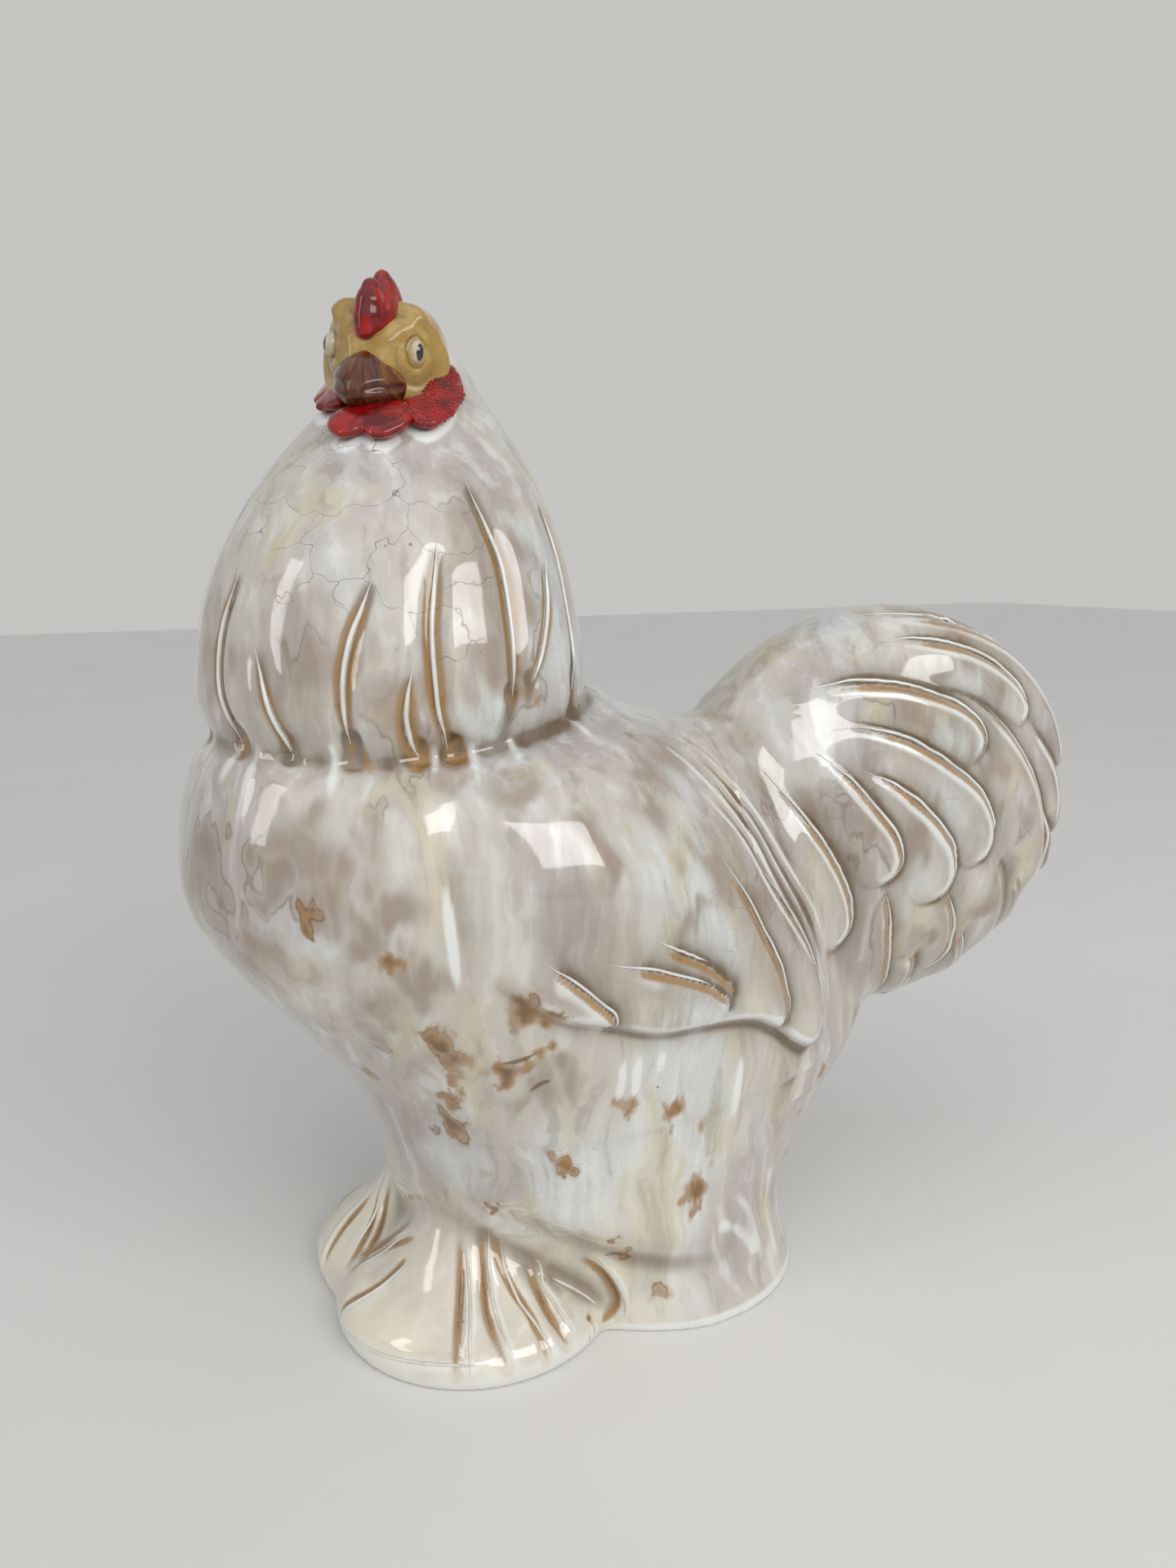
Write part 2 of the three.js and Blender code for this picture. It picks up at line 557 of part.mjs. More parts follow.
function beakLoft(grow) {
  const rings = [0, 0.35, 0.65, 0.87, 1].map((t) => {
    const y = THREE.MathUtils.lerp(BEAK.root, BEAK.tip - grow, t);
    const full = Math.sqrt(1 - BEAK.blunt * t ** BEAK.curve);
    return ovalRing(16, (c, s) => new THREE.Vector3((BEAK.half * full + grow) * c, y,
      BEAK.z - BEAK.drop * t * t + (BEAK.high * full + grow) * s));
  });
  return toSolid(loft(rings));
}

const beakSeat = beakLoft(LUTING_GAP);

function beak() {
  return beakLoft(0).subtract(skullSeat).subtract(neckInHeadFrame);
}

// Distance from the head's axis to the face, at a turn from straight ahead and a height
function faceReach(turn, z) {
  const [s, c] = [Math.sin(rad(turn)), Math.cos(rad(turn))];
  const skullReach = Math.sqrt(1 - (z / HEAD.height) ** 2) / Math.hypot(s / HEAD.half, c / HEAD.depth);
  const cheekFace = CHEEK.flat * Math.sqrt(1 - ((z - CHEEK.z) / CHEEK.radius) ** 2);
  return Math.max(skullReach, CHEEK.x * s - CHEEK.y * c + cheekFace);
}

function eye(side) {
  const a = side * rad(EYE.turn);
  const reach = faceReach(EYE.turn, EYE.z) - EYE.sunk;
  return toSolid(new THREE.SphereGeometry(1, 12, 8).scale(EYE.across, EYE.deep, EYE.tall)
    .rotateZ(a).translate(reach * Math.sin(a), -reach * Math.cos(a), EYE.z)).subtract(skullSeat);
}

// A ring of points from a function of the cosine and sine round it
function ovalRing(count, place) {
  return Array.from({ length: count }, (_, i) => {
    const a = 2 * Math.PI * i / count;
    return place(Math.cos(a), Math.sin(a));
  });
}

// A wattle: an oval bar round the neck, tapering to both ends, with a waist in its middle
function wattleSolid(wattle, grow) {
  const rings = [0, 0.07, 0.25, 0.5, 0.75, 0.93, 1].map((t) => {
    const bearing = rad(THREE.MathUtils.lerp(wattle.from, wattle.to, t));
    const middle = CAPE_TOP - THREE.MathUtils.lerp(wattle.drop, wattle.endDrop, t * t);
    const full = Math.sqrt(1.05 - (2 * t - 1) ** 2) * (1 - wattle.waist * Math.sin(Math.PI * t) ** 4);
    const [x, y, radius] = ['x', 'y', 'radius'].map((key) => readAt(CAPE_PROFILE, 'z', middle, key));
    return ovalRing(WATTLE_SIDES, (c, s) => {
      const up = (wattle.height * full + grow) * s;
      const r = radius + (wattle.thick * full + grow) * c - WATTLE_LEAN * up;
      return new THREE.Vector3(x + r * Math.sin(bearing), y - r * Math.cos(bearing), middle + up);
    });
  });
  return toSolid(loft(rings)).subtract(capeSeat).subtract(faceSeat);
}

const faceSeat = skullSeat.add(beakSeat).transform(headPlace.elements);
const chinSeat = wattleSolid(CHIN_WATTLE, LUTING_GAP);

// The assembly
function addPiece(parent, name, solid, colour) {
  const material = new THREE.MeshStandardMaterial({ color: colour, roughness: GLAZE_ROUGHNESS });
  const mesh = new THREE.Mesh(toGeometry(solid), material);
  mesh.name = name;
  parent.add(mesh);
}

const rooster = new THREE.Group();
addPiece(rooster, 'body_shell', bodyShell(), PEARL_GLAZE);
addPiece(rooster, 'cape_shell', capeShell(), PEARL_GLAZE);
addPiece(rooster, 'tail_shell', tailShell(), PEARL_GLAZE);
addPiece(rooster, 'wing_left', wing(1), PEARL_GLAZE);
addPiece(rooster, 'wing_right', wing(-1), PEARL_GLAZE);
addPiece(rooster, 'foot_left', foot(1), CREAM_GLAZE);
addPiece(rooster, 'foot_right', foot(-1), CREAM_GLAZE);

const head = new THREE.Group();
head.position.copy(headMiddle);
head.rotation.copy(headTurn);
rooster.add(head);
addPiece(rooster, 'chin_wattle', wattleSolid(CHIN_WATTLE, 0), RED_GLAZE);
addPiece(rooster, 'wattle_left', wattleSolid(LEFT_WATTLE, 0).subtract(chinSeat), RED_GLAZE);
addPiece(rooster, 'wattle_right', wattleSolid(RIGHT_WATTLE, 0).subtract(chinSeat), RED_GLAZE);
addPiece(head, 'head_shell', headShell(), FACE_GLAZE);
addPiece(head, 'comb', comb(), RED_GLAZE);
addPiece(head, 'beak', beak(), BEAK_GLAZE);
addPiece(head, 'eye_left', eye(1), EYE_GLAZE);
addPiece(head, 'eye_right', eye(-1), EYE_GLAZE);

export default rooster;
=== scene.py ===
"""Glazed ceramic rooster: the fired, glazed surface of the figurine.

The clay is modelled as blocks of signed distances in millimetres: shells, feathers and toes are joined softly,
as slip and glaze join them on the real figure, and the surface is then cut into the figure's own pieces.
The bird faces -Y, +X is its left, and the origin is the centre of the foot face.
"""
import math

import bpy
import numpy as np
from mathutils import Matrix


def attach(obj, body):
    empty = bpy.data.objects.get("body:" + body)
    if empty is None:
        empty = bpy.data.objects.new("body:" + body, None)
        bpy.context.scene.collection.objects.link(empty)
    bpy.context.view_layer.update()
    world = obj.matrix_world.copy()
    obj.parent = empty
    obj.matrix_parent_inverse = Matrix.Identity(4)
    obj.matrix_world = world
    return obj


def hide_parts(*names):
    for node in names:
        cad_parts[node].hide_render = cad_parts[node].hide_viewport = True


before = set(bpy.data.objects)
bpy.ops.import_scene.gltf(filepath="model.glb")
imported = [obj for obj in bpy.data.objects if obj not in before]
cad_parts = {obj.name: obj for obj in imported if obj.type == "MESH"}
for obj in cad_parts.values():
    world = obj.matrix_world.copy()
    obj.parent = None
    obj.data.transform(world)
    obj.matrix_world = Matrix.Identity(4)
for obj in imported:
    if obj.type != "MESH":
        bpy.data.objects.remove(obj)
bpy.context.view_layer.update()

import openvdb
from mathutils import Matrix, Vector

bl_info = {
    "name": "Ceramic Rooster",
    "version": (1, 0, 0),
    "blender": (4, 5, 0),
    "location": "3D View > Sidebar > Rooster",
    "description": "Builds a glazed ceramic rooster figurine piece by piece",
    "category": "Add Mesh",
}

MM = 0.001

# Body: level outlines. Height, y of the breast, of the widest point and of the rump, half width,
# and how full the curves are in front and behind.
BODY_OUTLINES = np.array([
    (0, -72, 45, 134, 101, 1.5, 2.3),
    (22, -78, 40, 126, 96, 1.5, 2.2),
    (45, -88, 30, 129, 92, 1.7, 2.1),
    (70, -96, 15, 151, 94, 1.9, 2.0),
    (95, -100, 0, 172, 97, 2.05, 2.0),
    (125, -111, -8, 196, 99, 1.95, 1.9),
    (160, -137, -12, 196, 106, 1.95, 1.65),
    (195, -166, -15, 188, 114, 2.0, 1.45),
    (230, -187, -20, 172, 118, 2.1, 1.35),
    (265, -189, -28, 146, 116, 2.2, 1.25),
    (290, -183, -38, 118, 107, 2.2, 1.25),
    (305, -176, -48, 84, 93, 2.2, 1.4),
    (313, -167, -55, 50, 80, 2.2, 1.6),
    (320, -155, -62, 32, 64, 2.2, 2.0),
    (327, -140, -66, 20, 46, 2.2, 2.0),
    (333, -120, -70, 6, 22, 2.2, 2.0),
])

# Neck cape: height, axis x and y, radius
CAPE_PROFILE = np.array([
    (286, 0, -82, 80),
    (300, 0, -82, 84),
    (312, 0, -82, 88),
    (326, 0, -82, 93),
    (345, 0, -82, 93),
    (370, 0, -82, 89),
    (395, 0, -80, 82),
    (415, -1, -77, 73),
    (435, -2, -74, 61),
    (455, -5, -70, 46),
    (470, -8, -67, 34),
    (481, -9, -66, 27),
    (489, -10, -65, 18),
    (492, -10, -65, 8),
])

# Grooves of the cape's feathers: depth share, then bearing (degrees from the breast towards the left) and height
CAPE_GROOVES = [
    (0.7, [(-1, 428), (-2, 400), (-3, 370), (-3, 345), (-1, 316)]),
    (1.0, [(25, 388), (21, 371), (19, 355), (19, 339), (23, 322), (25, 312)]),
    (0.6, [(37, 356), (40, 333), (43, 318), (44, 311)]),
    (1.0, [(70, 385), (67, 372), (64, 360), (62, 345), (62, 328), (63, 312)]),
    (0.7, [(80, 348), (78, 330), (79, 318), (82, 308)]),
    (1.1, [(88, 399), (87, 379), (86, 361), (86, 343), (87, 326), (91, 309)]),
    (1.3, [(100, 425), (106, 407), (110, 390), (111, 368), (110, 347), (109, 330)]),
    (0.7, [(130, 392), (128, 371), (122, 353), (115, 336)]),
    (0.9, [(139, 418), (143, 400), (144, 375), (142, 350), (139, 332)]),
    (0.8, [(168, 408), (169, 385), (168, 360), (167, 334)]),
]

# Tail: an upright disc, and the sickle feathers on each side as (y, z, width) from root to tip,
# the lower row first, so that each row lies over the one before
TAIL = {"y": 211, "z": 242, "length": 143, "height": 125, "half": 66}
TAIL_UNDER_FEATHERS = [
    [(203, 160, 14), (204, 150, 22), (208, 136, 22)],
    [(238, 170, 14), (240, 156, 22), (247, 142, 22)],
    [(160, 222, 16), (168, 196, 28), (172, 172, 33), (180, 150, 31), (186, 141, 24)],
    [(205, 205, 24), (212, 184, 36), (218, 168, 38), (221, 160, 33)],
    [(246, 222, 20), (256, 198, 31), (264, 175, 33), (268, 163, 26)],
    [(276, 204, 16), (287, 180, 23), (290, 168, 19)],
]
TAIL_FEATHERS = [
    [(296, 240, 12), (308, 216, 18), (312, 202, 15)],
    [(284, 292, 12), (302, 266, 21), (313, 244, 23), (316, 228, 18)],
    [(205, 316, 10), (232, 302, 23), (253, 283, 30), (270, 258, 37), (282, 235, 39), (291, 212, 37), (296, 200, 28)],
    [(180, 351, 12), (206, 350, 16), (232, 346, 19), (258, 337, 22), (280, 326, 24), (300, 308, 26),
     (314, 288, 26), (320, 270, 21)],
    [(182, 336, 14), (209, 333, 24), (234, 327, 28), (256, 318, 28), (272, 309, 25), (280, 302, 20)],
    [(128, 312, 10), (156, 313, 20), (181, 309, 28), (206, 301, 31), (224, 293, 31), (232, 288, 27)],
    [(146, 293, 10), (164, 289, 20), (185, 279, 28), (206, 263, 35), (225, 247, 39), (234, 236, 37), (238, 229, 31)],
    [(158, 272, 10), (174, 258, 23), (190, 241, 31), (203, 223, 37), (208, 212, 35)],
    [(134, 284, 8), (145, 268, 18), (156, 248, 28), (166, 233, 32), (171, 224, 30)],
    [(104, 276, 8), (117, 248, 22), (131, 222, 29), (141, 202, 30), (145, 190, 28)],
]
# Wing: lower edge as (y, z), rear edge as (z, y), crest as (y, z), and its tip feathers as (y, z, width)
WING_LIP = np.array([(-96, 236), (-76, 214), (-60, 200), (-46, 190), (-17, 180), (6, 171), (34, 167),
                     (55, 164), (75, 158), (90, 148), (102, 138), (115, 132), (124, 136), (132, 150)])
WING_REAR = np.array([(120, 119), (136, 125), (152, 129), (180, 123), (217, 98), (250, 82), (280, 68), (312, 52)])
WING_CREST = np.array([(-96, 300), (-40, 312), (0, 306), (30, 296), (60, 284), (90, 262), (118, 236), (130, 220)])
WING_FEATHERS = [
    [(-58, 220, 10), (-50, 207, 21), (-41, 196, 25), (-28, 187, 20)],
    [(-4, 220, 12), (10, 207, 20), (26, 196, 23), (42, 186, 18)],
    [(-28, 214, 10), (-10, 201, 25), (8, 191, 30), (26, 184, 27), (40, 179, 18)],
    [(70, 238, 16), (84, 214, 26), (98, 190, 31), (109, 166, 31), (114, 150, 24)],
    [(40, 252, 16), (46, 226, 34), (56, 200, 42), (69, 180, 40), (80, 166, 28)],
]
WING_VALLEY = [(106, -84, 296), (112, -88, 268), (114, -88, 240), (110, -88, 212)]

# Combed hackles of the back, between two rails from the shoulder to the flank
HACKLE_RAILS = [
    [(49, 46, 303), (51, 71, 285), (57, 91, 259), (62, 107, 232), (60, 127, 203), (60, 136, 176)],
    [(66, 28, 299), (73, 50, 276), (76, 71, 251), (84, 84, 228), (82, 104, 197), (76, 121, 170)],
]

# Feet: a fan of toes round the leg, its reach shares by height, and the grooves between the toes
FOOT = {"x": 24, "y": -57, "turn": 48, "reach": 75, "spread": 200}
FOOT_PROFILE = np.array([(0, 0.98), (7, 1.0), (15, 0.95), (22, 0.85), (32, 0.68), (48, 0.5), (68, 0.34), (80, 0.2)])
TOE_GROOVES = [
    [(22, -92, 52), (6, -104, 36), (-4, -116, 20)],
    [(34, -92, 50), (13, -106, 34), (2, -121, 16)],
    [(36, -98, 42), (31, -116, 24), (20, -129, 7)],
    [(52, -75, 56), (69, -81, 32), (89, -90, 7)],
    [(60, -66, 60), (67, -68, 42), (80, -70, 27), (96, -66, 7)],
    [(58, -62, 60), (72, -55, 37), (84, -49, 23), (97, -46, 6)],
    [(66, -43, 42), (82, -40, 24), (94, -33, 7)],
    [(66, -14, 48), (82, -10, 34), (88, -5, 18), (88, -7, 5)],
]
TOE_RIDGES = [
    [(33, -90, 52), (15, -106, 37), (4, -122, 19)],
    [(38, -99, 42), (34, -118, 24), (24, -130, 8)],
    [(54, -72, 54), (72, -76, 31), (93, -84, 9)],
    [(60, -62, 60), (68, -64, 44), (82, -66, 29), (97, -61, 9)],
    [(64, -58, 54), (77, -53, 34), (88, -47, 20), (97, -42, 8)],
    [(64, -38, 44), (80, -36, 28), (92, -29, 12)],
    [(68, -9, 50), (84, -5, 35), (90, 0, 18), (90, -2, 6)],
]
NAIL_LINE = [(27, -129, 7), (42, -127, 9), (56, -122, 10), (68, -114, 11), (79, -102, 12), (87, -88, 12), (92, -76, 12)]
# Lower edge of the thigh above the plinth, and the tufts at the rear corner
THIGH_FOLD = [(65, -67, 78), (76, -48, 70), (82, -31, 60), (86, -12, 49), (90, 8, 41), (93, 26, 36), (93, 46, 33),
              (90, 62, 28)]
REAR_TUFTS = [
    [(84, 62, 66), (84, 78, 44), (88, 84, 18)],
    [(90, 52, 52), (88, 68, 42), (89, 78, 24)],
    [(76, 92, 70), (78, 99, 42), (82, 98, 10)],
    [(56, 118, 66), (62, 116, 36), (68, 112, 8)],
    [(34, 128, 64), (38, 125, 32), (44, 124, 8)],
]

# Where the mauve-brown glaze clouds lie, as x, y, z and radius, and their size upwards
CLOUDS = [
    (81, -64, 387, 21), (80, -60, 362, 19), (76, -45, 384, 18), (74, -135, 352, 15), (90, -97, 330, 20),
    (82, -121, 352, 10), (81, -145, 277, 16), (87, -140, 255, 15), (72, -159, 258, 13), (97, -118, 274, 12),
    (101, -112, 248, 12), (94, -126, 238, 12), (102, 48, 244, 19), (92, 58, 262, 16), (112, 27, 226, 10),
    (98, -52, 156, 12), (101, -34, 158, 9), (45, 105, 266, 12), (56, 132, 262, 14), (58, 195, 306, 17),
    (49, 214, 335, 14), (64, 160, 249, 15), (68, 198, 240, 15), (66, 227, 290, 14), (60, 252, 270, 15),
    (50, 262, 320, 15), (58, 280, 236, 13), (40, 240, 341, 16), (63, 38, 296, 15), (91, 74, 226, 16),
    (73, 105, 198, 13), (69, 49, 280, 13), (117, -23, 272, 12), (93, -78, 303, 13), (97, -107, 212, 12),
    (62, 182, 182, 12), (66, 218, 172, 12), (60, 262, 188, 12), (40, -178, 262, 16), (20, -186, 240, 14),
    (-30, -182, 255, 16), (0, 110, 250, 18), (0, 320, 300, 20), (0, 335, 240, 16), (30, 180, 120, 16),
    (40, -150, 345, 16), (-20, -172, 350, 18), (14, -172, 372, 12), (86, -58, 400, 19), (90, -54, 350, 21),
    (20, -160, 330, 13), (-2, -170, 400, 14), (60, -140, 330, 14), (104, -60, 300, 14), (60, -168, 220, 16),
    (80, -120, 200, 16), (96, 10, 270, 15), (108, -10, 240, 12), (76, 20, 290, 14),
]
# Brown stains where the glaze ran thin, and painted shade under the wing's lower edge
STAINS_AND_SHADE = [
    (92, -91, 180, 9), (94, -88, 170, 7), (79, -82, 146, 8), (70, -84, 132, 7), (62, -85, 120, 6), (97, -64, 164, 7),
    (101, -56, 168, 6), (106, -47, 175, 5), (101, -6, 138, 7), (98, -2, 130, 5), (98, 21, 125, 6), (101, 41, 109, 7),
    (104, 44, 118, 5), (93, -34, 107, 6), (92, -38, 112, 5), (93, 38, 76, 7), (92, 30, 70, 5), (70, -62, 78, 6),
    (91, 18, 22, 6), (88, -18, 14, 5), (96, -117, 223, 6), (83, -144, 245, 7), (84, -120, 244, 5), (66, 130, 106, 7),
    (72, 122, 92, 5), (60, 138, 170, 5), (41, 172, 334, 3), (90, -6, 58, 5), (86, 0, 46, 5), (52, -120, 150, 7),
    # (113, -60, 197) and (117, -47, 190) are painted shade under the wing's lower edge, over brown glaze there
    (10, -128, 140, 8), (30, -112, 110, 6), (92, -86, 164, 12), (74, -84, 122, 9), (113, -60, 197, 9),
    (117, -47, 190, 7), (84, -70, 100, 8), (40, 170, 130, 8), (10, 190, 150, 8), (60, 120, 60, 6), (0, 196, 200, 10),
]
# Thin drip edges, as lines of brown
DRIP_LINES = [
    [(97, -70, 168), (103, -58, 170), (107, -48, 176)],
    [(104, -40, 158), (100, -48, 156), (97, -54, 150)],
    [(88, -12, 44), (90, -4, 44), (92, 6, 40)],
]
CRACKS = [(47, -109, 436), (61, -106, 421), (62, -121, 408), (60, -131, 401), (72, -102, 408), (79, -87, 401),
          (88, -77, 374), (77, -115, 388), (83, -96, 387), (40, -130, 420), (30, -130, 405)]
PALE_DRIPS = [
    [(105, -9, 165), (103, -9, 150), (101, -10, 138)],
    [(103, -1, 165), (101, -1, 152), (99, -1, 140)],
    [(103, 12, 163), (100, 12, 150)],
    [(104, -92, 262), (106, -90, 236), (104, -86, 206)],
    [(85, 62, 148), (80, 60, 128), (78, 58, 108)],
]

# Head: its middle on the neck, its turn to the bird's left and its tilt, and its shapes in its own frame,
# where the face looks along -Y
HEAD = {"middle": (9, -81.3, 482.5), "turn": 55, "tilt": 7, "skull": (26.6, 29, 23)}
CROWN = {"middle": (0.5, 1, 12), "half": (21.5, 21, 12), "round": 5.5}
CHEEK = {"x": 11.8, "y": -9.5, "z": -3, "radius": 19.2, "flat": 12, "round": 6, "turn": 46}
BROW = [(24, 2.9), (27, 7.2), (34, 11.6), (43, 14.7), (59, 17), (78, 14)]
EYE = {"turn": 47, "z": 2, "sunk": 1.5, "across": 3.8, "tall": 5.6, "deep": 4}
BEAK = {"middle": (0.4, -15.5, -11.2), "radii": (17.6, 24.5, 14.6), "droop": 0.011}
MOUTH = [(4, -37, -17.5), (10, -33, -15.5), (18.5, -22, -13.5)]
# Comb lobes in the head's frame: x, y, z and radius
FRONT_LOBE = [(0.3, -26.5, 25.6, 4.2), (0.4, -27.2, 20, 5.8), (0.3, -27, 13.5, 6.5), (-0.2, -28.6, 8.6, 4.8)]
BACK_LOBE = [(0.4, -14.5, 32.4, 3.4), (1.2, -14.5, 27, 6.3), (1.8, -15, 21, 8.6), (1.4, -19, 17, 9), (0.6, -22.5, 13, 8),
             (0.4, -7, 19, 5)]
# Wattles on the neck: bearing round the neck, height and radius of each lobe, then thickness
CHIN_WATTLE = ([(45, 453, 7), (50, 452, 8.4), (57, 455, 7), (65, 452, 9.2), (70, 454, 8)], 8.5)
LEFT_WATTLE = ([(80, 458, 6.5), (85, 456, 8.4), (92, 460, 8), (98, 467, 8.6), (101, 474, 6.5)], 7.5)
RIGHT_WATTLE = ([(31, 464, 6.5), (22, 466, 8.4), (11, 471, 9.4), (0, 477, 10), (-9, 483, 9.5), (-14, 488, 7)], 7.5)


# Reading shape tables
def read_table(table, column, place):
    """A column of a table at any place of its first column, on a smooth curve."""
    keys, values = table[:, 0], table[:, column]
    slopes = np.gradient(values, keys)
    place = np.clip(place, keys[0], keys[-1])
    k = np.clip(np.searchsorted(keys, place, side="right") - 1, 0, len(keys) - 2)
    span = keys[k + 1] - keys[k]
    t = (place - keys[k]) / span
    t2, t3 = t * t, t * t * t
    return ((2 * t3 - 3 * t2 + 1) * values[k] + (t3 - 2 * t2 + t) * span * slopes[k]
            + (3 * t2 - 2 * t3) * values[k + 1] + (t3 - t2) * span * slopes[k + 1])


def ease(value, low, high):
    t = np.clip((value - low) / (high - low), 0, 1)
    return t * t * (3 - 2 * t)


def spline(points, steps):
    """A smooth line through points of any width, with so many steps in each stretch."""
    p = np.asarray(points, float)
    ends = np.vstack([2 * p[0] - p[1], p, 2 * p[-1] - p[-2]])
    t = np.linspace(0, 1, steps, endpoint=False)[:, None]
    line = []
    for a, b, c, d in zip(ends, ends[1:], ends[2:], ends[3:]):
        line.append(0.5 * (2 * b + (c - a) * t + (2 * a - 5 * b + 4 * c - d) * t ** 2
                           + (3 * b - a - 3 * c + d) * t ** 3))
    return np.vstack([*line, p[-1:]])


def join_softly(a, b, softness):
    """The union of two shapes with a fillet between them."""
    h = np.clip(0.5 + 0.5 * (b - a) / softness, 0, 1)
    return b * (1 - h) + a * h - softness * h * (1 - h)


def segment_distance(x, y, z, a, b):
    """Distance to the line from a to b, and how far along it the nearest place lies."""
    ab = b - a
    t = np.clip(((x - a[0]) * ab[0] + (y - a[1]) * ab[1] + (z - a[2]) * ab[2]) / max(float(ab @ ab), 1e-9), 0, 1)
    return np.sqrt((x - a[0] - t * ab[0]) ** 2 + (y - a[1] - t * ab[1]) ** 2 + (z - a[2] - t * ab[2]) ** 2), t


class Clay:
    """A block of signed distances in millimetres, negative inside the clay."""

    def __init__(self, low, high, cell):
        self.low, self.cell = np.array(low, float), cell
        count = np.ceil((np.array(high) - self.low) / cell).astype(int) + 1
        self.axes = [(self.low[i] + cell * np.arange(count[i])).astype(np.float32) for i in range(3)]
        self.field = np.full(count, 50, np.float32)

    def window(self, low, high):
        """Index ranges of a smaller box, and its coordinates."""
        cut = []
        for i in range(3):
            a = int(np.clip(math.floor((low[i] - self.low[i]) / self.cell), 0, len(self.axes[i]) - 2))
            b = int(np.clip(math.ceil((high[i] - self.low[i]) / self.cell), a + 1, len(self.axes[i])))
            cut.append(slice(a, b))
        x, y, z = (self.axes[i][cut[i]] for i in range(3))
        return tuple(cut), (x[:, None, None], y[None, :, None], z[None, None, :])

    def whole(self):
        return self.axes[0][:, None, None], self.axes[1][None, :, None], self.axes[2][None, None, :]

    def add(self, shape, low, high, softness):
        """Joins a shape, given as a function of x, y and z, and returns it as a field of its own."""
        cut, (x, y, z) = self.window(low, high)
        piece = np.broadcast_to(shape(x, y, z), self.field[cut].shape).astype(np.float32)
        self.field[cut] = join_softly(self.field[cut], piece, softness)
        whole = np.full(self.field.shape, 50, np.float16)
        whole[cut] = np.clip(piece, -60, 50)
        return whole

    def sample(self, points, field=None):
        """The field at any points, read between its cells."""
        field = self.field if field is None else field
        p = (points - self.low) / self.cell
        top = np.array(field.shape) - 2
        i = np.clip(np.floor(p).astype(int), 0, top)
        f = np.clip(p - i, 0, 1)
        out = np.zeros(len(points))
        for dx in (0, 1):
            for dy in (0, 1):
                for dz in (0, 1):
                    weight = (np.abs(1 - dx - f[:, 0]) * np.abs(1 - dy - f[:, 1]) * np.abs(1 - dz - f[:, 2]))
                    out += weight * field[i[:, 0] + dx, i[:, 1] + dy, i[:, 2] + dz]
        return out

    def normals(self, points, step=1.0):
        reach = step * self.cell
        n = np.stack([self.sample(points + reach * axis) - self.sample(points - reach * axis) for axis in np.eye(3)], 1)
        return n / np.maximum(np.linalg.norm(n, axis=1, keepdims=True), 1e-9)

    def settle(self, points, rounds=4):
        """Moves points onto the surface along its normals."""
        points = np.array(points, float)
        for _ in range(rounds):
            points -= self.normals(points) * np.clip(self.sample(points), -4, 4)[:, None]
        return points

    def side_points(self, places):
        """Points on the left side of the clay from (y, z) places."""
        out = []
        for y, z in places:
            column = np.stack([self.axes[0], np.full(len(self.axes[0]), y), np.full(len(self.axes[0]), z)], 1)
            inside = np.nonzero(self.sample(column) < 0)[0]
            out.append((self.axes[0][inside[-1]] if len(inside) else 8, y, z))
        return self.settle(np.array(out, float))

    def stroke(self, path, height, width, taper=True):
        """Raises a ridge along a path on the surface, or with a negative height carves a groove."""
        path = np.asarray(path, float)
        reach = 2.4 * width
        cut, (x, y, z) = self.window(path.min(0) - reach, path.max(0) + reach)
        nearest = np.full(self.field[cut].shape, 1e9, np.float32)
        along = np.zeros_like(nearest)
        for k, (a, b) in enumerate(zip(path, path[1:])):
            d, t = segment_distance(x, y, z, a, b)
            closer = d < nearest
            nearest = np.where(closer, d, nearest)
            along = np.where(closer, (k + t) / (len(path) - 1), along)
        swell = np.sqrt(np.clip(np.sin(np.pi * np.clip(along, 0.004, 0.996)), 0, 1)) if taper else 1
        self.field[cut] -= height * swell * np.exp(-(nearest / width) ** 2)

    def soften(self, share=0.12):
        """One light pass of smoothing, as glaze rounds every edge."""
        f = self.field
        for axis in range(3):
            g = f * (1 - 2 * share)
            a = [slice(None)] * 3
            b = [slice(None)] * 3
            a[axis], b[axis] = slice(1, None), slice(None, -1)
            g[tuple(a)] += share * f[tuple(b)]
            g[tuple(b)] += share * f[tuple(a)]
            f = g
        self.field = f

    def true_distance(self, cut=None):
        """Divides the field by its slope, so that its values near the surface are millimetres."""
        cut = cut or (slice(None),) * 3
        part = self.field[cut]
        slope = np.zeros_like(part)
        for axis in range(3):
            slope += np.gradient(part, self.cell, axis=axis) ** 2
        self.field[cut] = part / np.clip(np.sqrt(slope), 0.6, 4)

    def surface(self):
        """The clay's surface as points and four-sided faces, settled on the exact zero of the field."""
        grid = openvdb.FloatGrid(3 * self.cell)
        grid.copyFromArray(np.clip(self.field, -3 * self.cell, 3 * self.cell))
        points, quads = grid.convertToQuads()
        points = points.astype(float) * self.cell + self.low
        a, b, c = (points[quads[:, k]] for k in (0, 1, 2))
        facing = np.cross(b - a, c - a)
        out = self.normals(points)
        if (facing * out[quads[:, 0]]).sum() < 0:
            quads = quads[:, ::-1]
        return self.settle(points, 3), quads.astype(int)


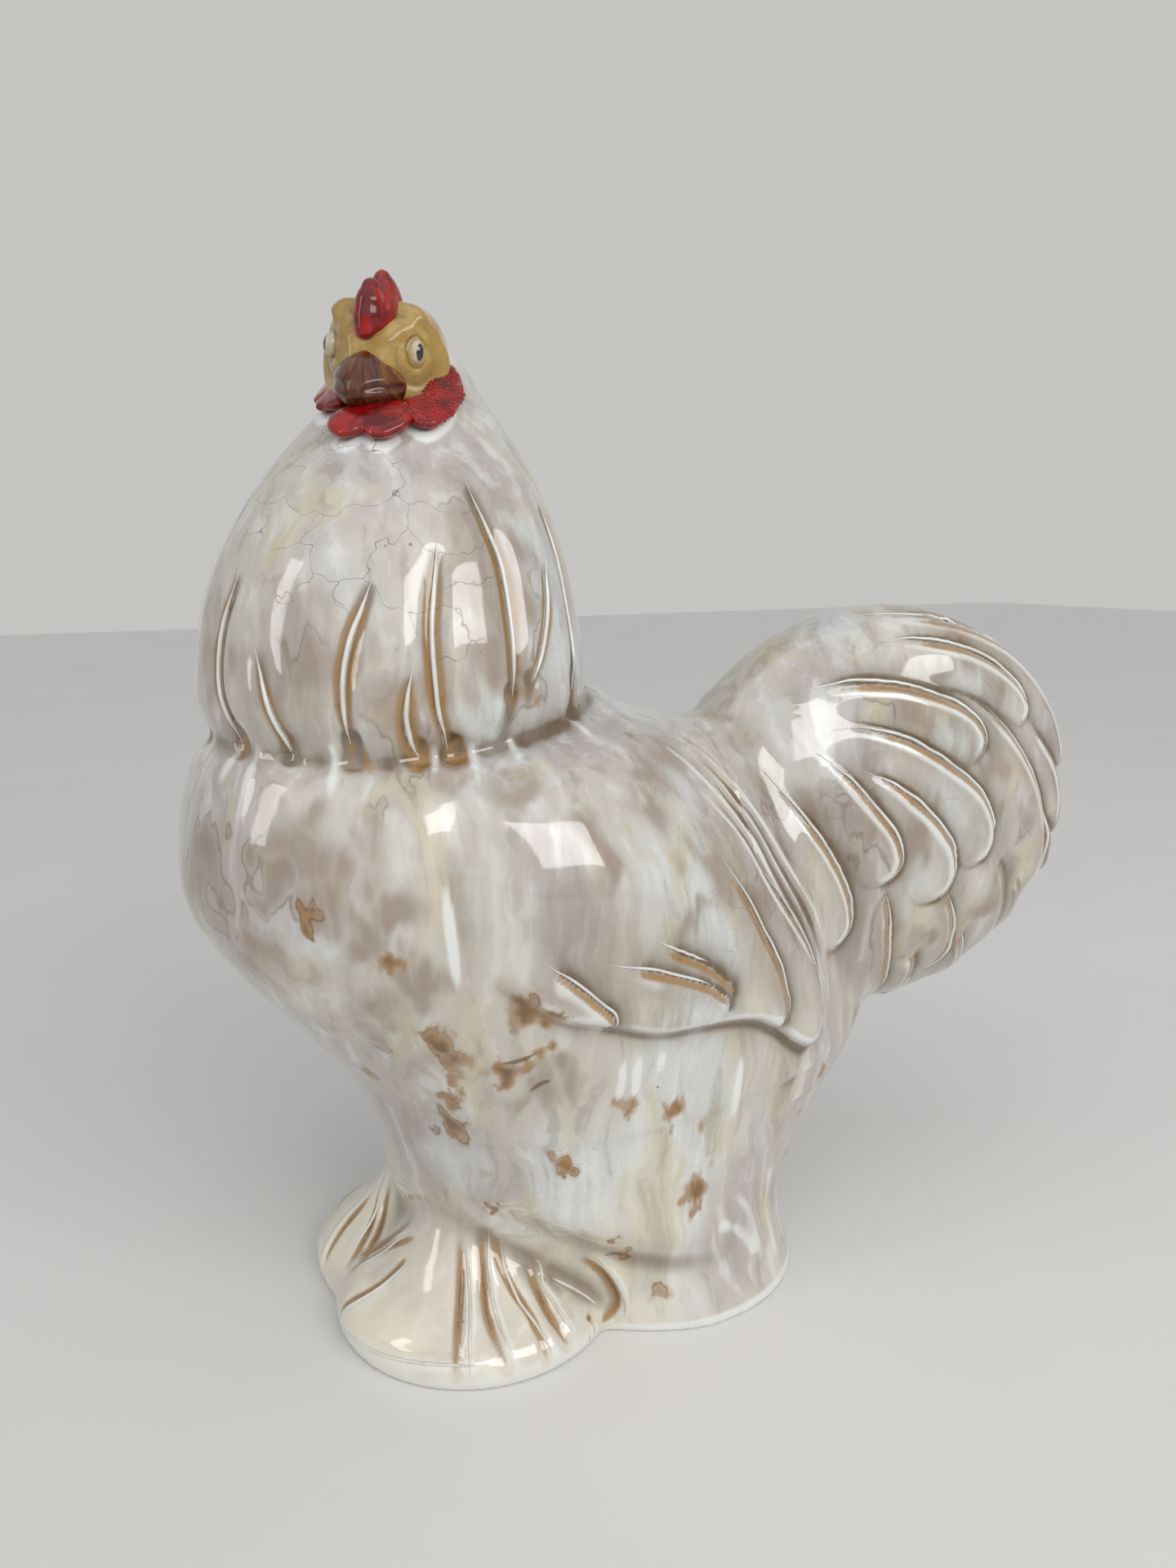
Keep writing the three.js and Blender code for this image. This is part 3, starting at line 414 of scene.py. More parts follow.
def relief(clay, points, spread):
    """How far the surface stands above (+) or below (-) its own smoothed shape, in shares of the spread."""
    factor = max(1, int(spread / clay.cell / 1.5))
    size = [n // factor * factor for n in clay.field.shape]
    f = np.clip(clay.field[:size[0], :size[1], :size[2]], -3 * spread, 3 * spread)
    for axis in range(3):
        shape = list(f.shape)
        shape[axis:axis + 1] = [shape[axis] // factor, factor]
        f = f.reshape(shape).mean(axis + 1)
    sigma = spread / (clay.cell * factor)
    reach = int(math.ceil(2.5 * sigma))
    kernel = np.exp(-0.5 * (np.arange(-reach, reach + 1) / sigma) ** 2)
    kernel /= kernel.sum()
    for axis in range(3):
        padded = np.pad(f, [(reach, reach) if i == axis else (0, 0) for i in range(3)], mode="edge")
        total = np.zeros_like(f)
        for k, weight in enumerate(kernel):
            part = [slice(None)] * 3
            part[axis] = slice(k, k + f.shape[axis])
            total += weight * padded[tuple(part)]
        f = total
    coarse = Clay.__new__(Clay)
    coarse.low = clay.low + clay.cell * (factor - 1) / 2
    coarse.cell = clay.cell * factor
    return coarse.sample(points, f) / spread


# The figure's own shapes
def body_shape(x, y, z):
    breast, wide, rump, half, front, back = (read_table(BODY_OUTLINES, k, z[0, 0]).astype(np.float32)[None, None]
                                             for k in range(1, 7))
    dy = y - wide
    ahead = dy < 0
    reach = np.where(ahead, wide - breast, rump - wide)
    power = np.where(ahead, front, back)
    full = ((np.abs(x) / half) ** power + (np.abs(dy) / reach) ** power) ** (1 / power)
    r = np.sqrt(x * x + dy * dy)
    side = r * (1 - 1 / np.maximum(full, 1e-3))
    return np.maximum(side, z - BODY_OUTLINES[-1, 0])


def cape_shape(x, y, z):
    ax, ay, radius = (read_table(CAPE_PROFILE, k, z[0, 0]).astype(np.float32)[None, None] for k in (1, 2, 3))
    side = np.sqrt((x - ax) ** 2 + (y - ay) ** 2) - radius
    return np.maximum(np.maximum(side, z - CAPE_PROFILE[-1, 0]), CAPE_PROFILE[0, 0] - z)


def cape_point(bearing, z):
    radius = read_table(CAPE_PROFILE, 3, z)
    a = math.radians(bearing)
    return (read_table(CAPE_PROFILE, 1, z) + radius * math.sin(a), read_table(CAPE_PROFILE, 2, z) - radius * math.cos(a), z)


def ellipsoid_shape(centre, radii):
    def shape(x, y, z):
        p = [(v - c) / r for v, c, r in zip((x, y, z), centre, radii)]
        near = np.sqrt(sum(v * v for v in p))
        slope = np.sqrt(sum((v / r) ** 2 for v, r in zip(p, radii)))
        return near * (near - 1) / np.maximum(slope, 1e-6)
    return shape


def foot_shape(side):
    def shape(x, y, z):
        dx, dy = x - side * FOOT["x"], y - FOOT["y"]
        bearing = (np.degrees(np.arctan2(side * dx, -dy)) - FOOT["turn"] + 180) % 360 - 180
        fan = 1 - ease(np.abs(bearing), FOOT["spread"] / 2 - 14, FOOT["spread"] / 2 + 34)
        reach = FOOT["reach"] * (0.5 + 0.5 * fan) * read_table(FOOT_PROFILE, 1, z[0, 0]).astype(np.float32)[None, None]
        return np.maximum(np.sqrt(dx * dx + dy * dy) - reach, z - FOOT_PROFILE[-1, 0])
    return shape


def mirrored(path):
    return np.array(path, float) * np.array([-1, 1, 1])


def on_surface(clay, path, steps=4):
    """A smooth line laid on the clay through points that lie near it."""
    return clay.settle(spline(path, steps))


def stroke_both(clay, path, height, width, taper=True):
    points = on_surface(clay, path)
    clay.stroke(points, height, width, taper)
    clay.stroke(mirrored(points), height, width, taper)


def feather_place(y, z, feather):
    """Where points lie on a feather: how far out (1 is its outline), how far to its outer side, how far along
    it from root to tip, and its half width there."""
    line = spline(feather, 5)
    share = np.full(np.broadcast(y, z).shape, 1e9, np.float32)
    side, along, width = np.zeros_like(share), np.zeros_like(share), np.ones_like(share)
    for k, (a, b) in enumerate(zip(line, line[1:])):
        d = b[:2] - a[:2]
        t = np.clip(((y - a[0]) * d[0] + (z - a[1]) * d[1]) / max(float(d @ d), 1e-9), 0, 1)
        oy, oz = y - a[0] - t * d[0], z - a[1] - t * d[1]
        half = (a[2] + (b[2] - a[2]) * t) / 2
        here = np.sqrt(oy * oy + oz * oz) / half
        closer = here < share
        share = np.where(closer, here, share)
        side = np.where(closer, (d[0] * oz - d[1] * oy) / np.linalg.norm(d) / half, side)
        along = np.where(closer, (k + t) / (len(line) - 1), along)
        width = np.where(closer, half, width)
    return share, side, along, width


def feather_relief(y, z, feathers, proud, seam=1.1, steep=0.5):
    """Height of overlapping feathers over a side of the bird, seen from the side. Each feather grows from its
    root and slopes up to its upper, outer edge, where it drops steeply to the feather below."""
    total = np.zeros(np.broadcast(y, z).shape, np.float32)
    for feather in feathers:
        share, side, along, _ = feather_place(y, z, feather)
        crown = np.clip(1 - np.clip(share, 0, 1) ** 4, 0, 1) ** steep
        height = proud * crown * (0.12 + 0.88 * ease(along, 0, 0.4)) * (0.6 + 0.4 * np.clip(side, -1, 1))
        total = -join_softly(-total, -height.astype(np.float32), seam)
    return total


def model_body(clay, parts):
    cut, (x, y, z) = clay.window((-140, -205, -20), (140, 215, 345))
    clay.field[cut] = body_shape(x, y, z)
    clay.true_distance(cut)
    for _ in range(7):
        clay.soften(0.16)
    parts["body"] = clay.field.astype(np.float16)


def model_wings(clay, parts, sizes):
    cut, (x, y, z) = clay.window((-140, -104, 120), (140, 138, 322))
    lip = read_table(WING_LIP, 1, y).astype(np.float32)
    crest = read_table(WING_CREST, 1, y).astype(np.float32)
    outside = ease(np.abs(x), 42, 84)
    rear = read_table(WING_REAR, 1, z).astype(np.float32)
    leaf = ease(z - lip, 0, 7.5) * ease(crest - z, 0, 70) * ease(y + 84, 0, 40) * ease(rear - y, 0, 9)
    tips = feather_relief(y[0], z[0], WING_FEATHERS, sizes["wing_feather_proud"], 1.6, 1.0)[None]
    rise = sizes["wing_proud"] * leaf * outside
    covered = np.maximum(leaf, ease(tips, 0, 2.5)) * outside
    wing = clay.field[cut] - rise - 0.9 * tips * outside
    whole = np.full(clay.field.shape, 50, np.float16)
    whole[cut] = np.where(covered > 0.12, wing, 50)
    parts["wing"] = whole
    clay.field[cut] = wing
    clay.true_distance(cut)


def model_tail(clay, sizes):
    cut, (x, y, z) = clay.window((-80, 84, 104), (80, 366, 384))
    under = feather_relief(y[0], z[0], TAIL_UNDER_FEATHERS, 0.55 * sizes["tail_feather_proud"])
    upper = feather_relief(y[0], z[0], TAIL_FEATHERS, sizes["tail_feather_proud"])
    feathers = -join_softly(-under, -upper, 1.5)[None]
    clay.field[cut] -= feathers * (0.35 + 0.65 * ease(np.abs(x), 3, 20))


def model_cape(clay, sizes):
    grooves = [(share, line) for share, line in CAPE_GROOVES]
    grooves += [(share, [(-b, z) for b, z in line]) for share, line in CAPE_GROOVES[1:]]
    ridges = []
    for share, line in grooves:
        path = clay.settle([cape_point(b, z) for b, z in spline(line, 5)])
        clay.stroke(path, -share * sizes["groove_depth"], 5.2)
        bearing, foot = line[-1]
        notch = clay.settle([cape_point(bearing, foot + 10), cape_point(bearing, foot), cape_point(bearing, 299)])
        clay.stroke(notch, -share * 0.9 * sizes["groove_depth"], 4.6)
        ridges.append((share, path))
    return ridges


def model_hackles(clay):
    first, last = (spline(rail, 4) for rail in HACKLE_RAILS)
    lines = []
    for k, (share, height, start, end) in enumerate(((0.0, 1.9, 0, 21), (0.2, -1.7, 3, 21), (0.32, 1.2, 1, 19),
                                                     (0.45, -1.8, 4, 21), (0.66, 2.0, 0, 20), (0.82, -1.5, 5, 21),
                                                     (1.0, 1.5, 2, 21))):
        line = clay.settle((first * (1 - share) + last * share)[start:end])
        clay.stroke(line, height, 2.5)
        clay.stroke(mirrored(line), height, 2.5)
        if height > 0:
            lines.append(line)
    return lines


def model_feet(clay):
    for groove in TOE_GROOVES:
        stroke_both(clay, groove, -3.0, 2.4)
    for ridge in TOE_RIDGES:
        stroke_both(clay, ridge, 1.4, 4.0)
    stroke_both(clay, NAIL_LINE, 1.5, 2.6)
    stroke_both(clay, np.array(NAIL_LINE) + (0, 0, 5), -0.9, 2.4)


def model_plinth(clay):
    stroke_both(clay, THIGH_FOLD, -2.8, 9.5)
    stroke_both(clay, np.array(THIGH_FOLD) + (0, 0, 18), 3.2, 14)
    for tuft in REAR_TUFTS:
        stroke_both(clay, tuft, 2.6, 6.0)
    for line in PALE_DRIPS:
        stroke_both(clay, line, 0.7, 2.6)
    stroke_both(clay, WING_VALLEY, -2.8, 12)


def waves(points, size, seed):
    """A smooth wandering value from about -1 to 1 at each point, with bends of the given size."""
    random = np.random.default_rng(seed)
    total = np.zeros(len(points))
    for _ in range(7):
        way = random.normal(size=3)
        way *= random.uniform(0.7, 1.7) / np.linalg.norm(way)
        total += np.sin(points @ way * (2 * math.pi / size) + random.uniform(0, 6.3))
    return total / 3


def spots(points, table, tall=1.35, bend=0.4, drip=0.35):
    """How much of a glaze spot lies on each point, from (x, y, z, radius) rows, on both sides of the bird.
    The spots bend, and their lower edges run down in drips."""
    total = np.zeros(len(points))
    middle = float(np.median([row[3] for row in table]))
    level = points * np.array([1, 1, 0.12])
    moved = np.stack([bend * middle * waves(points, 2.2 * middle, seed) for seed in (11, 12, 13)], 1)
    moved[:, 2] += drip * middle * (waves(level, 0.9 * middle, 14) + 0.7 * waves(level, 0.45 * middle, 15))
    points = points + moved
    for x, y, z, radius in table:
        for side in (1, -1):
            near = np.nonzero(np.abs(points[:, 2] - z) < 2.4 * radius * tall)[0]
            p = points[near]
            shift = 0 if side > 0 or abs(x) < 5 else 6
            d2 = (((p[:, 0] - side * x) / radius) ** 2 + ((p[:, 1] - y - shift) / radius) ** 2
                  + ((p[:, 2] - z + shift) / (radius * tall)) ** 2)
            total[near] = np.maximum(total[near], np.exp(-d2))
    return total


def outer_edge(feathers, number):
    """The outer edge of one feather round to its tip, as (y, z) points, where no later feather covers it."""
    line = spline(feathers[number], 5)
    way = np.gradient(line[:, :2], axis=0)
    way /= np.linalg.norm(way, axis=1)[:, None]
    out = np.stack([-way[:, 1], way[:, 0]], 1)
    edge = line[:, :2] + out * line[:, 2:] / 2
    turn = np.radians([20, 40, 60, 80, 100])[:, None]
    edge = np.vstack([edge, line[-1, :2] + (out[-1] * np.cos(turn) + way[-1] * np.sin(turn)) * line[-1, 2] / 2])
    clear = np.ones(len(edge), bool)
    for other in feathers[number + 1:]:
        clear &= feather_place(edge[:, 0], edge[:, 1], other)[0] > 0.98
    runs = np.split(np.arange(len(edge)), np.nonzero(~clear)[0])
    best = max(runs, key=len)
    return edge[best if clear[best[0]] else best[1:]]


def feather_paint(points):
    """Where glaze is thin on the feathers: in the hollow outside each outer edge, just inside that edge, and
    towards the outer side of each feather."""
    hollow, rim, blush = np.zeros(len(points)), np.zeros(len(points)), np.zeros(len(points))
    for feathers, share_up, here in ((TAIL_UNDER_FEATHERS, 0.55, points[:, 1] > 130), (TAIL_FEATHERS, 1, points[:, 1] > 90),
                                     (WING_FEATHERS, 1, (points[:, 1] < 128) & (np.abs(points[:, 0]) > 55))):
        k = np.nonzero(here)[0]
        y, z = points[k, 1], points[k, 2]
        top = feather_relief(y, z, TAIL_FEATHERS if share_up < 1 else feathers, 1.0, 0.05)
        for feather in feathers:
            share, side, along, width = feather_place(y, z, feather)
            grown = ease(along, 0.04, 0.35)
            out = (share - 1) * width
            seen = grown * ease(side / np.maximum(share, 0.3), -0.35, 0.25) * ease(share_up * grown - top, 0.02, 0.3)
            # Painted shade in the dip outside the feather's outer edge, fading over about 7.5 mm
            hollow[k] = np.maximum(hollow[k], seen * np.where(out > -1.5, np.exp(-np.maximum(out, 0) / 7.5), 0))
            edge = grown * ease(side, 0.1, 0.6) * ease(share_up * grown - top, -0.6, -0.1 * share_up)
            rim[k] = np.maximum(rim[k], edge * np.exp(-((out + 3.2) / 2.2) ** 2))
            here = grown * ease(1.1 - share, 0, 0.2)
            blush[k] = blush[k] * (1 - here) + here * ease(side, -0.5, 0.7)
    return hollow, rim, blush


def near_lines(points, lines, width, taper=True):
    """How close each point lies to any of the lines, from 0 to 1."""
    total = np.zeros(len(points))
    for path in lines:
        path = np.asarray(path, float)
        near = np.nonzero(((points > path.min(0) - 2.2 * width) & (points < path.max(0) + 2.2 * width)).all(1))[0]
        if not len(near):
            continue
        p = points[near]
        best, place = np.full(len(p), 1e9), np.zeros(len(p))
        for k, (a, b) in enumerate(zip(path, path[1:])):
            d, t = segment_distance(p[:, 0], p[:, 1], p[:, 2], a, b)
            closer = d < best
            best = np.where(closer, d, best)
            place = np.where(closer, (k + t) / (len(path) - 1), place)
        swell = np.sqrt(np.clip(np.sin(np.pi * np.clip(place, 0.01, 0.99)), 0, 1)) if taper else 1
        total[near] = np.maximum(total[near], swell * np.exp(-(best / width) ** 2))
    return total


def rim_drips():
    """White glaze that ran over the cape's rim onto the shoulders, as lines down the surface."""
    lines = []
    for k, bearing in enumerate(range(-150, 175, 19)):
        reach = 8 + 26 * abs(math.sin(2.3 * k + 0.6)) ** 2
        bearing += 7 * math.sin(1.7 * k)
        x, y, z = cape_point(bearing, 317)
        lines.append(spline([(x, y, z), (x, y, 308), (1.02 * x, 1.02 * (y + 82) - 82, 308 - reach)], 4))
    return lines


def wattle_lines():
    """Lines on the cape along the lower edges of the wattles, where white glaze pooled."""
    lines = []
    for lobes, _ in (CHIN_WATTLE, LEFT_WATTLE, RIGHT_WATTLE):
        edge = []
        for bearing, z, radius in lobes:
            edge.append(cape_point(bearing, z - 0.95 * radius - 3.6))
        lines.append(spline(edge, 4))
    return lines


figure = {}


def model_figure(sizes):
    """Models the whole glazed figure once and keeps its surface: points, faces, labels and paint."""
    if figure:
        return figure
    clay = Clay((-134, -202, -10), (134, 366, 504), sizes["cell"])
    parts = {}
    model_body(clay, parts)
    model_wings(clay, parts, sizes)
    parts["tail"] = clay.add(ellipsoid_shape((0, TAIL["y"], TAIL["z"]),
                                             (TAIL["half"] - 5, TAIL["length"] - 5, TAIL["height"] - 4)),
                             (-75, 50, 100), (75, 366, 380), 16)
    parts["cape"] = clay.add(cape_shape, (-100, -182, 282), (100, 20, 496), 4)
    for side, name in ((1, "foot_left"), (-1, "foot_right")):
        parts[name] = clay.add(foot_shape(side), (-110, -140, -10), (110, 40, 84), 6)
    for low, high in (((-75, 50, 100), (75, 366, 380)), ((-100, -182, 282), (100, 20, 500)),
                      ((-110, -140, -10), (110, 40, 90))):
        clay.true_distance(clay.window(low, high)[0])
    clay.soften(0.16)
    model_tail(clay, sizes)
    hackles = model_hackles(clay)
    ridges = model_cape(clay, sizes)
    model_feet(clay)
    model_plinth(clay)
    for line in wattle_lines():
        clay.stroke(clay.settle(line), 2.1, 3.4)
    for line in rim_drips():
        clay.stroke(clay.settle(line), 0.9, 3.4)
    clay.soften(0.1)
    z = clay.axes[2][None, None, :]
    clay.field = -join_softly(-clay.field, np.broadcast_to(z, clay.field.shape), 2.0)
    points, quads = clay.surface()
    centres = points[quads].mean(1)
    near = {name: clay.sample(centres, field) for name, field in parts.items()}
    near["wing"] += 1.0
    names = sorted(near)
    label = np.argmin([near[name] for name in names], axis=0)

    def both(lines):
        return [*lines, *[mirrored(line) for line in lines]]

    every = [*TAIL_UNDER_FEATHERS, *TAIL_FEATHERS]
    tail_edges = [line for line in (outer_edge(every, k) for k in range(len(every))) if len(line) > 5]
    edges = {
        "tail": both([clay.side_points(line) for line in tail_edges]),
        "wing": both([clay.side_points(outer_edge(WING_FEATHERS, k)) for k in range(len(WING_FEATHERS))]),
        "cape": [clay.settle(path) for _, path in ridges],
        "foot": both([on_surface(clay, line, 5) for line in [*TOE_RIDGES, NAIL_LINE]]),
        "hackle": both([clay.settle(line) for line in hackles]),
        "tuft": both([on_surface(clay, line, 5) for line in REAR_TUFTS]),
        "ends": [(*path[-1], 6) for share, path in ridges if share > 0.6],
        "rim_drips": [clay.settle(path) for path in rim_drips()],
    }
    hollow, rim, blush = feather_paint(points)
    toes = both([on_surface(clay, line, 5) for line in TOE_GROOVES])
    drips = both([on_surface(clay, line, 4) for line in DRIP_LINES])
    pools = [clay.settle(line) for line in wattle_lines()]
    paint = {
        "relief_fine": relief(clay, points, 3.0),
        "relief_broad": relief(clay, points, 9.0),
        "cloud": np.maximum(spots(points, CLOUDS), 0.62 * blush),
        # Stains, and painted shade under the wing's lower edge
        "stain": spots(points, STAINS_AND_SHADE, 1.2),
        "drip": near_lines(points, drips, 1.7),
        # Painted shade below the feathers' outer edges
        "hollow": hollow,
        "amber": np.maximum.reduce([near_lines(points, edges["cape"], 5.6), 1.1 * near_lines(points, toes, 2.6),
                                    0.95 * rim, 0.85 * spots(points, edges["ends"], 1.4, 0.3, 0.2),
                                    0.62 * near_lines(points, edges["hackle"], 3.2),
                                    0.45 * near_lines(points, edges["tuft"], 4.0)]),
        "pale": np.maximum.reduce([near_lines(points, edges["cape"], 1.5), 1.3 * near_lines(points, pools, 4.2, False),
                                   near_lines(points, both([on_surface(clay, p, 4) for p in PALE_DRIPS]), 3.0),
                                   0.6 * near_lines(points, edges["rim_drips"], 3.6),
                                   0.8 * near_lines(points, edges["hackle"], 1.7)]),
        "crackle": spots(points, [(*p, 17) for p in CRACKS]),
        "warmth": ease(105 - points[:, 2], 0, 70) * ease(-points[:, 1], -60, 40),
    }
    figure.update(clay=clay, points=points, quads=quads, label=label, names=names, centres=centres,
                  normals=clay.normals(points), paint=paint, edges=edges)
    return figure


def new_piece(name, points, faces, normals=None, attributes=None):
    """A mesh object from points in millimetres."""
    mesh = bpy.data.meshes.new(name)
    mesh.from_pydata((np.asarray(points) * MM).tolist(), [], [list(f) for f in faces])
    mesh.polygons.foreach_set("use_smooth", [True] * len(mesh.polygons))
    for key, values in (attributes or {}).items():
        mesh.attributes.new(key, "FLOAT", "POINT").data.foreach_set("value", np.asarray(values, np.float32))
    if normals is not None:
        mesh.normals_split_custom_set_from_vertices(normals.tolist())
    piece = bpy.data.objects.new(name, mesh)
    bpy.context.scene.collection.objects.link(piece)
    return piece


def loops_of(edges):
    """Groups boundary edges that touch each other."""
    parent = {}

    def root(v):
        while parent.setdefault(v, v) != v:
            parent[v] = parent[parent[v]]
            v = parent[v]
        return v

    for a, b in edges:
        parent[root(a)] = root(b)
    groups = {}
    for a, b in edges:
        groups.setdefault(root(a), []).append((a, b))
    return list(groups.values())


def cut_piece(name, keep, depth=22):
    """Takes the faces that belong to one piece and closes its cut edges towards the inside of the clay."""
    fig = figure
    faces = fig["quads"][keep]
    used, faces = np.unique(faces, return_inverse=True)
    faces = faces.reshape(-1, 4)
    points, normals = fig["points"][used], fig["normals"][used]
    ends = np.concatenate([faces[:, [k, (k + 1) % 4]] for k in range(4)])
    keys = np.sort(ends, 1)
    _, first, count = np.unique(keys[:, 0] * len(used) + keys[:, 1], return_index=True, return_counts=True)
    rim = [tuple(e) for e in ends[first[count == 1]].tolist()]
    closing = []
    hubs, hub_normals = [], []
    for group in loops_of(rim):
        ring = sorted({v for e in group for v in e})
        inward = -normals[ring].mean(0)
        inward /= max(np.linalg.norm(inward), 1e-6)
        size = np.ptp(points[ring], axis=0).max()
        hub = len(used) + len(hubs)
        hubs.append(points[ring].mean(0) + inward * min(depth, 0.4 * size))
        hub_normals.append(inward)
        closing += [(b, a, hub) for a, b in group]
    points = np.vstack([points, *[h[None] for h in hubs]])
    normals = np.vstack([normals, *[h[None] for h in hub_normals]])
    pad = np.zeros(len(hubs))
    attributes = {key: np.append(values[used], pad) for key, values in fig["paint"].items()}
    return new_piece(name, points, faces.tolist() + closing, normals, attributes)


# Head pieces, each from a finer block of clay in the head's own frame
HEAD_TURN = Matrix.Rotation(math.radians(HEAD["turn"]), 3, "Z") @ Matrix.Rotation(math.radians(HEAD["tilt"]), 3, "Y")


def to_world(points):
    return np.asarray(points) @ np.array(HEAD_TURN).T + np.array(HEAD["middle"])


def rounded(distances, round_by):
    """A rounded solid from its distances to flat or curved faces."""
    d = [v + round_by for v in distances]
    outside = np.sqrt(sum(np.maximum(v, 0) ** 2 for v in d))
    inside = np.minimum(np.maximum.reduce(np.broadcast_arrays(*d)), 0)
    return outside + inside - round_by


def head_shape(x, y, z):
    skull = ellipsoid_shape((1.2, 0, 0), HEAD["skull"])(x, y, z)
    cx, cy, cz = CROWN["middle"]
    hx, hy, hz = CROWN["half"]
    slope = 0.014 * np.maximum(y + 4, 0) ** 2 + 0.16 * np.maximum(x - 6, 0) + 0.1 * np.maximum(-x - 4, 0)
    crown = rounded([np.abs(x - cx) - hx, np.abs(y - cy) - hy, np.abs(z + slope - cz) - hz], CROWN["round"])
    head = join_softly(skull, crown, 3.5)
    turn = math.radians(CHEEK["turn"])
    for side in (1, -1):
        dx, dy, dz = x - 1 - side * (CHEEK["x"] - 1), y - CHEEK["y"], z - CHEEK["z"]
        out = side * dx * math.sin(turn) - dy * math.cos(turn)
        level = side * dx * math.cos(turn) + dy * math.sin(turn)
        cheek = rounded([np.abs(out) - CHEEK["flat"], np.sqrt(level ** 2 + dz ** 2) - CHEEK["radius"]], CHEEK["round"])
        head = join_softly(head, cheek, 2.5)
    return head


def comb_shape(x, y, z):
    def lobe(rows, softness):
        field = np.float32(50)
        for a, b in zip(rows, rows[1:]):
            a, b = np.array(a, float), np.array(b, float)
            d, t = segment_distance(x, y, z, a[:3], b[:3])
            field = join_softly(field, d - (a[3] + (b[3] - a[3]) * t), softness)
        return field
    return join_softly(lobe(BACK_LOBE, 2.5), lobe(FRONT_LOBE, 2.0), 0.8)


def beak_shape(x, y, z):
    bx, by, bz = BEAK["middle"]
    rx, ry, rz = BEAK["radii"]
    ahead = np.maximum(by - y, 0)
    zz = z - bz + BEAK["droop"] * ahead ** 2
    keel = 1 + 0.16 * ease(zz, -3, 11) - 0.12 * ease(-zz, 0, 10)
    near = (np.abs((x - bx) / rx * keel) ** 1.8 + np.abs((y - by) / ry) ** 2.1 + np.abs(zz / rz) ** 1.9) ** (1 / 1.95)
    return (near - 1) * 13


def neck_distance(x, y, z):
    """Distance from the plain surface of the neck, and the bearing round it."""
    ax, ay, radius = (read_table(CAPE_PROFILE, k, z).astype(np.float32) for k in (1, 2, 3))
    steep = (read_table(CAPE_PROFILE, 3, z + 1) - read_table(CAPE_PROFILE, 3, z - 1)) / 2
    lean = 1 / np.sqrt(1 + steep ** 2)
    side = (np.sqrt((x - ax) ** 2 + (y - ay) ** 2) - radius) * lean
    return side, np.degrees(np.arctan2(x - ax, ay - y)), radius, lean


def wattle_shape(wattle):
    lobes, thick = wattle

    def shape(x, y, z):
        out, bearing, radius, lean = neck_distance(x, y, z)
        flat = np.float32(50)
        for lobe_bearing, lobe_z, lobe_radius in lobes:
            across = np.radians(bearing - lobe_bearing) * radius
            up = (z - lobe_z) / lean * 0.82
            flat = join_softly(flat, np.sqrt(across ** 2 + up ** 2) - lobe_radius, 2.2)
        return rounded([flat, np.abs(out - 1) - (thick - 1)], 0.62 * thick)
    return shape


def dense_piece(name, shape, low, high, cell, place, strokes=(), soft=1, attributes=None):
    """A closed piece from a block of its own. Strokes are (path, height, width) on its surface."""
    clay = Clay(low, high, cell)
    clay.field = np.array(np.broadcast_to(shape(*clay.whole()), clay.field.shape), np.float32)
    clay.true_distance()
    for path, height, width in strokes:
        clay.stroke(clay.settle(spline(path, 5)), height, width)
    for _ in range(soft):
        clay.soften(0.12)
    points, quads = clay.surface()
    normals = clay.normals(points)
    paint = {"relief_fine": relief(clay, points, 1.6), "relief_broad": relief(clay, points, 4.5)}
    for key, rule in (attributes or {}).items():
        paint[key] = rule(points)
    if place:
        points, normals = to_world(points), normals @ np.array(HEAD_TURN).T
    return new_piece(name, points, quads, normals, paint)


def face_point(turn, z, reach=30.0):
    a = math.radians(turn)
    return (reach * math.sin(a), -reach * math.cos(a), z)


def ring_path(turn, z, across, tall, reach=29.0):
    """A closed oval on the face round an eye."""
    rows = []
    for k in range(17):
        a = 2 * math.pi * k / 16
        rows.append(face_point(turn + math.degrees(across * math.cos(a) / reach), z + tall * math.sin(a), reach))
    return rows


# Colours and shader parts
def linear(code):
    """An sRGB colour code as linear values."""
    parts = [int(code[k:k + 2], 16) / 255 for k in (0, 2, 4)]
    return tuple(c / 12.92 if c <= 0.04045 else ((c + 0.055) / 1.055) ** 2.4 for c in parts) + (1.0,)


class Nodes:
    """Shorthand for building a node tree."""

    def __init__(self, tree):
        self.tree = tree

    def add(self, kind, inputs=None, **settings):
        node = self.tree.nodes.new(kind)
        for key, value in settings.items():
            setattr(node, key, value)
        for key, value in (inputs or {}).items():
            self.put(node.inputs[key], value)
        return node

    def put(self, socket, value):
        if isinstance(value, bpy.types.NodeSocket):
            self.tree.links.new(value, socket)
        else:
            socket.default_value = value

    def math(self, operation, a, b=0.0, clamp=False):
        node = self.add("ShaderNodeMath", {0: a, 1: b}, operation=operation, use_clamp=clamp)
        return node.outputs[0]

    def mix(self, factor, a, b, blend="MIX"):
        node = self.add("ShaderNodeMix", data_type="RGBA", blend_type=blend)
        for key, value in ((0, factor), (6, a), (7, b)):
            self.put(node.inputs[key], value)
        return node.outputs[2]

    def span(self, value, low, high, to_low=0.0, to_high=1.0):
        node = self.add("ShaderNodeMapRange", {0: value, 1: low, 2: high, 3: to_low, 4: to_high},
                        interpolation_type="SMOOTHSTEP")
        return node.outputs[0]

    def noise(self, vector, scale, detail=3.0, rough=0.5, distortion=0.0):
        return self.add("ShaderNodeTexNoise", {"Vector": vector, "Scale": scale, "Detail": detail,
                                               "Roughness": rough, "Distortion": distortion}).outputs[0]

    def place(self, vector, scale=(1, 1, 1), location=(0, 0, 0), rotation=(0, 0, 0)):
        return self.add("ShaderNodeMapping", {"Vector": vector, "Scale": scale, "Location": location,
                                              "Rotation": rotation}).outputs[0]

    def attribute(self, name):
        return self.add("ShaderNodeAttribute", attribute_name=name).outputs["Fac"]


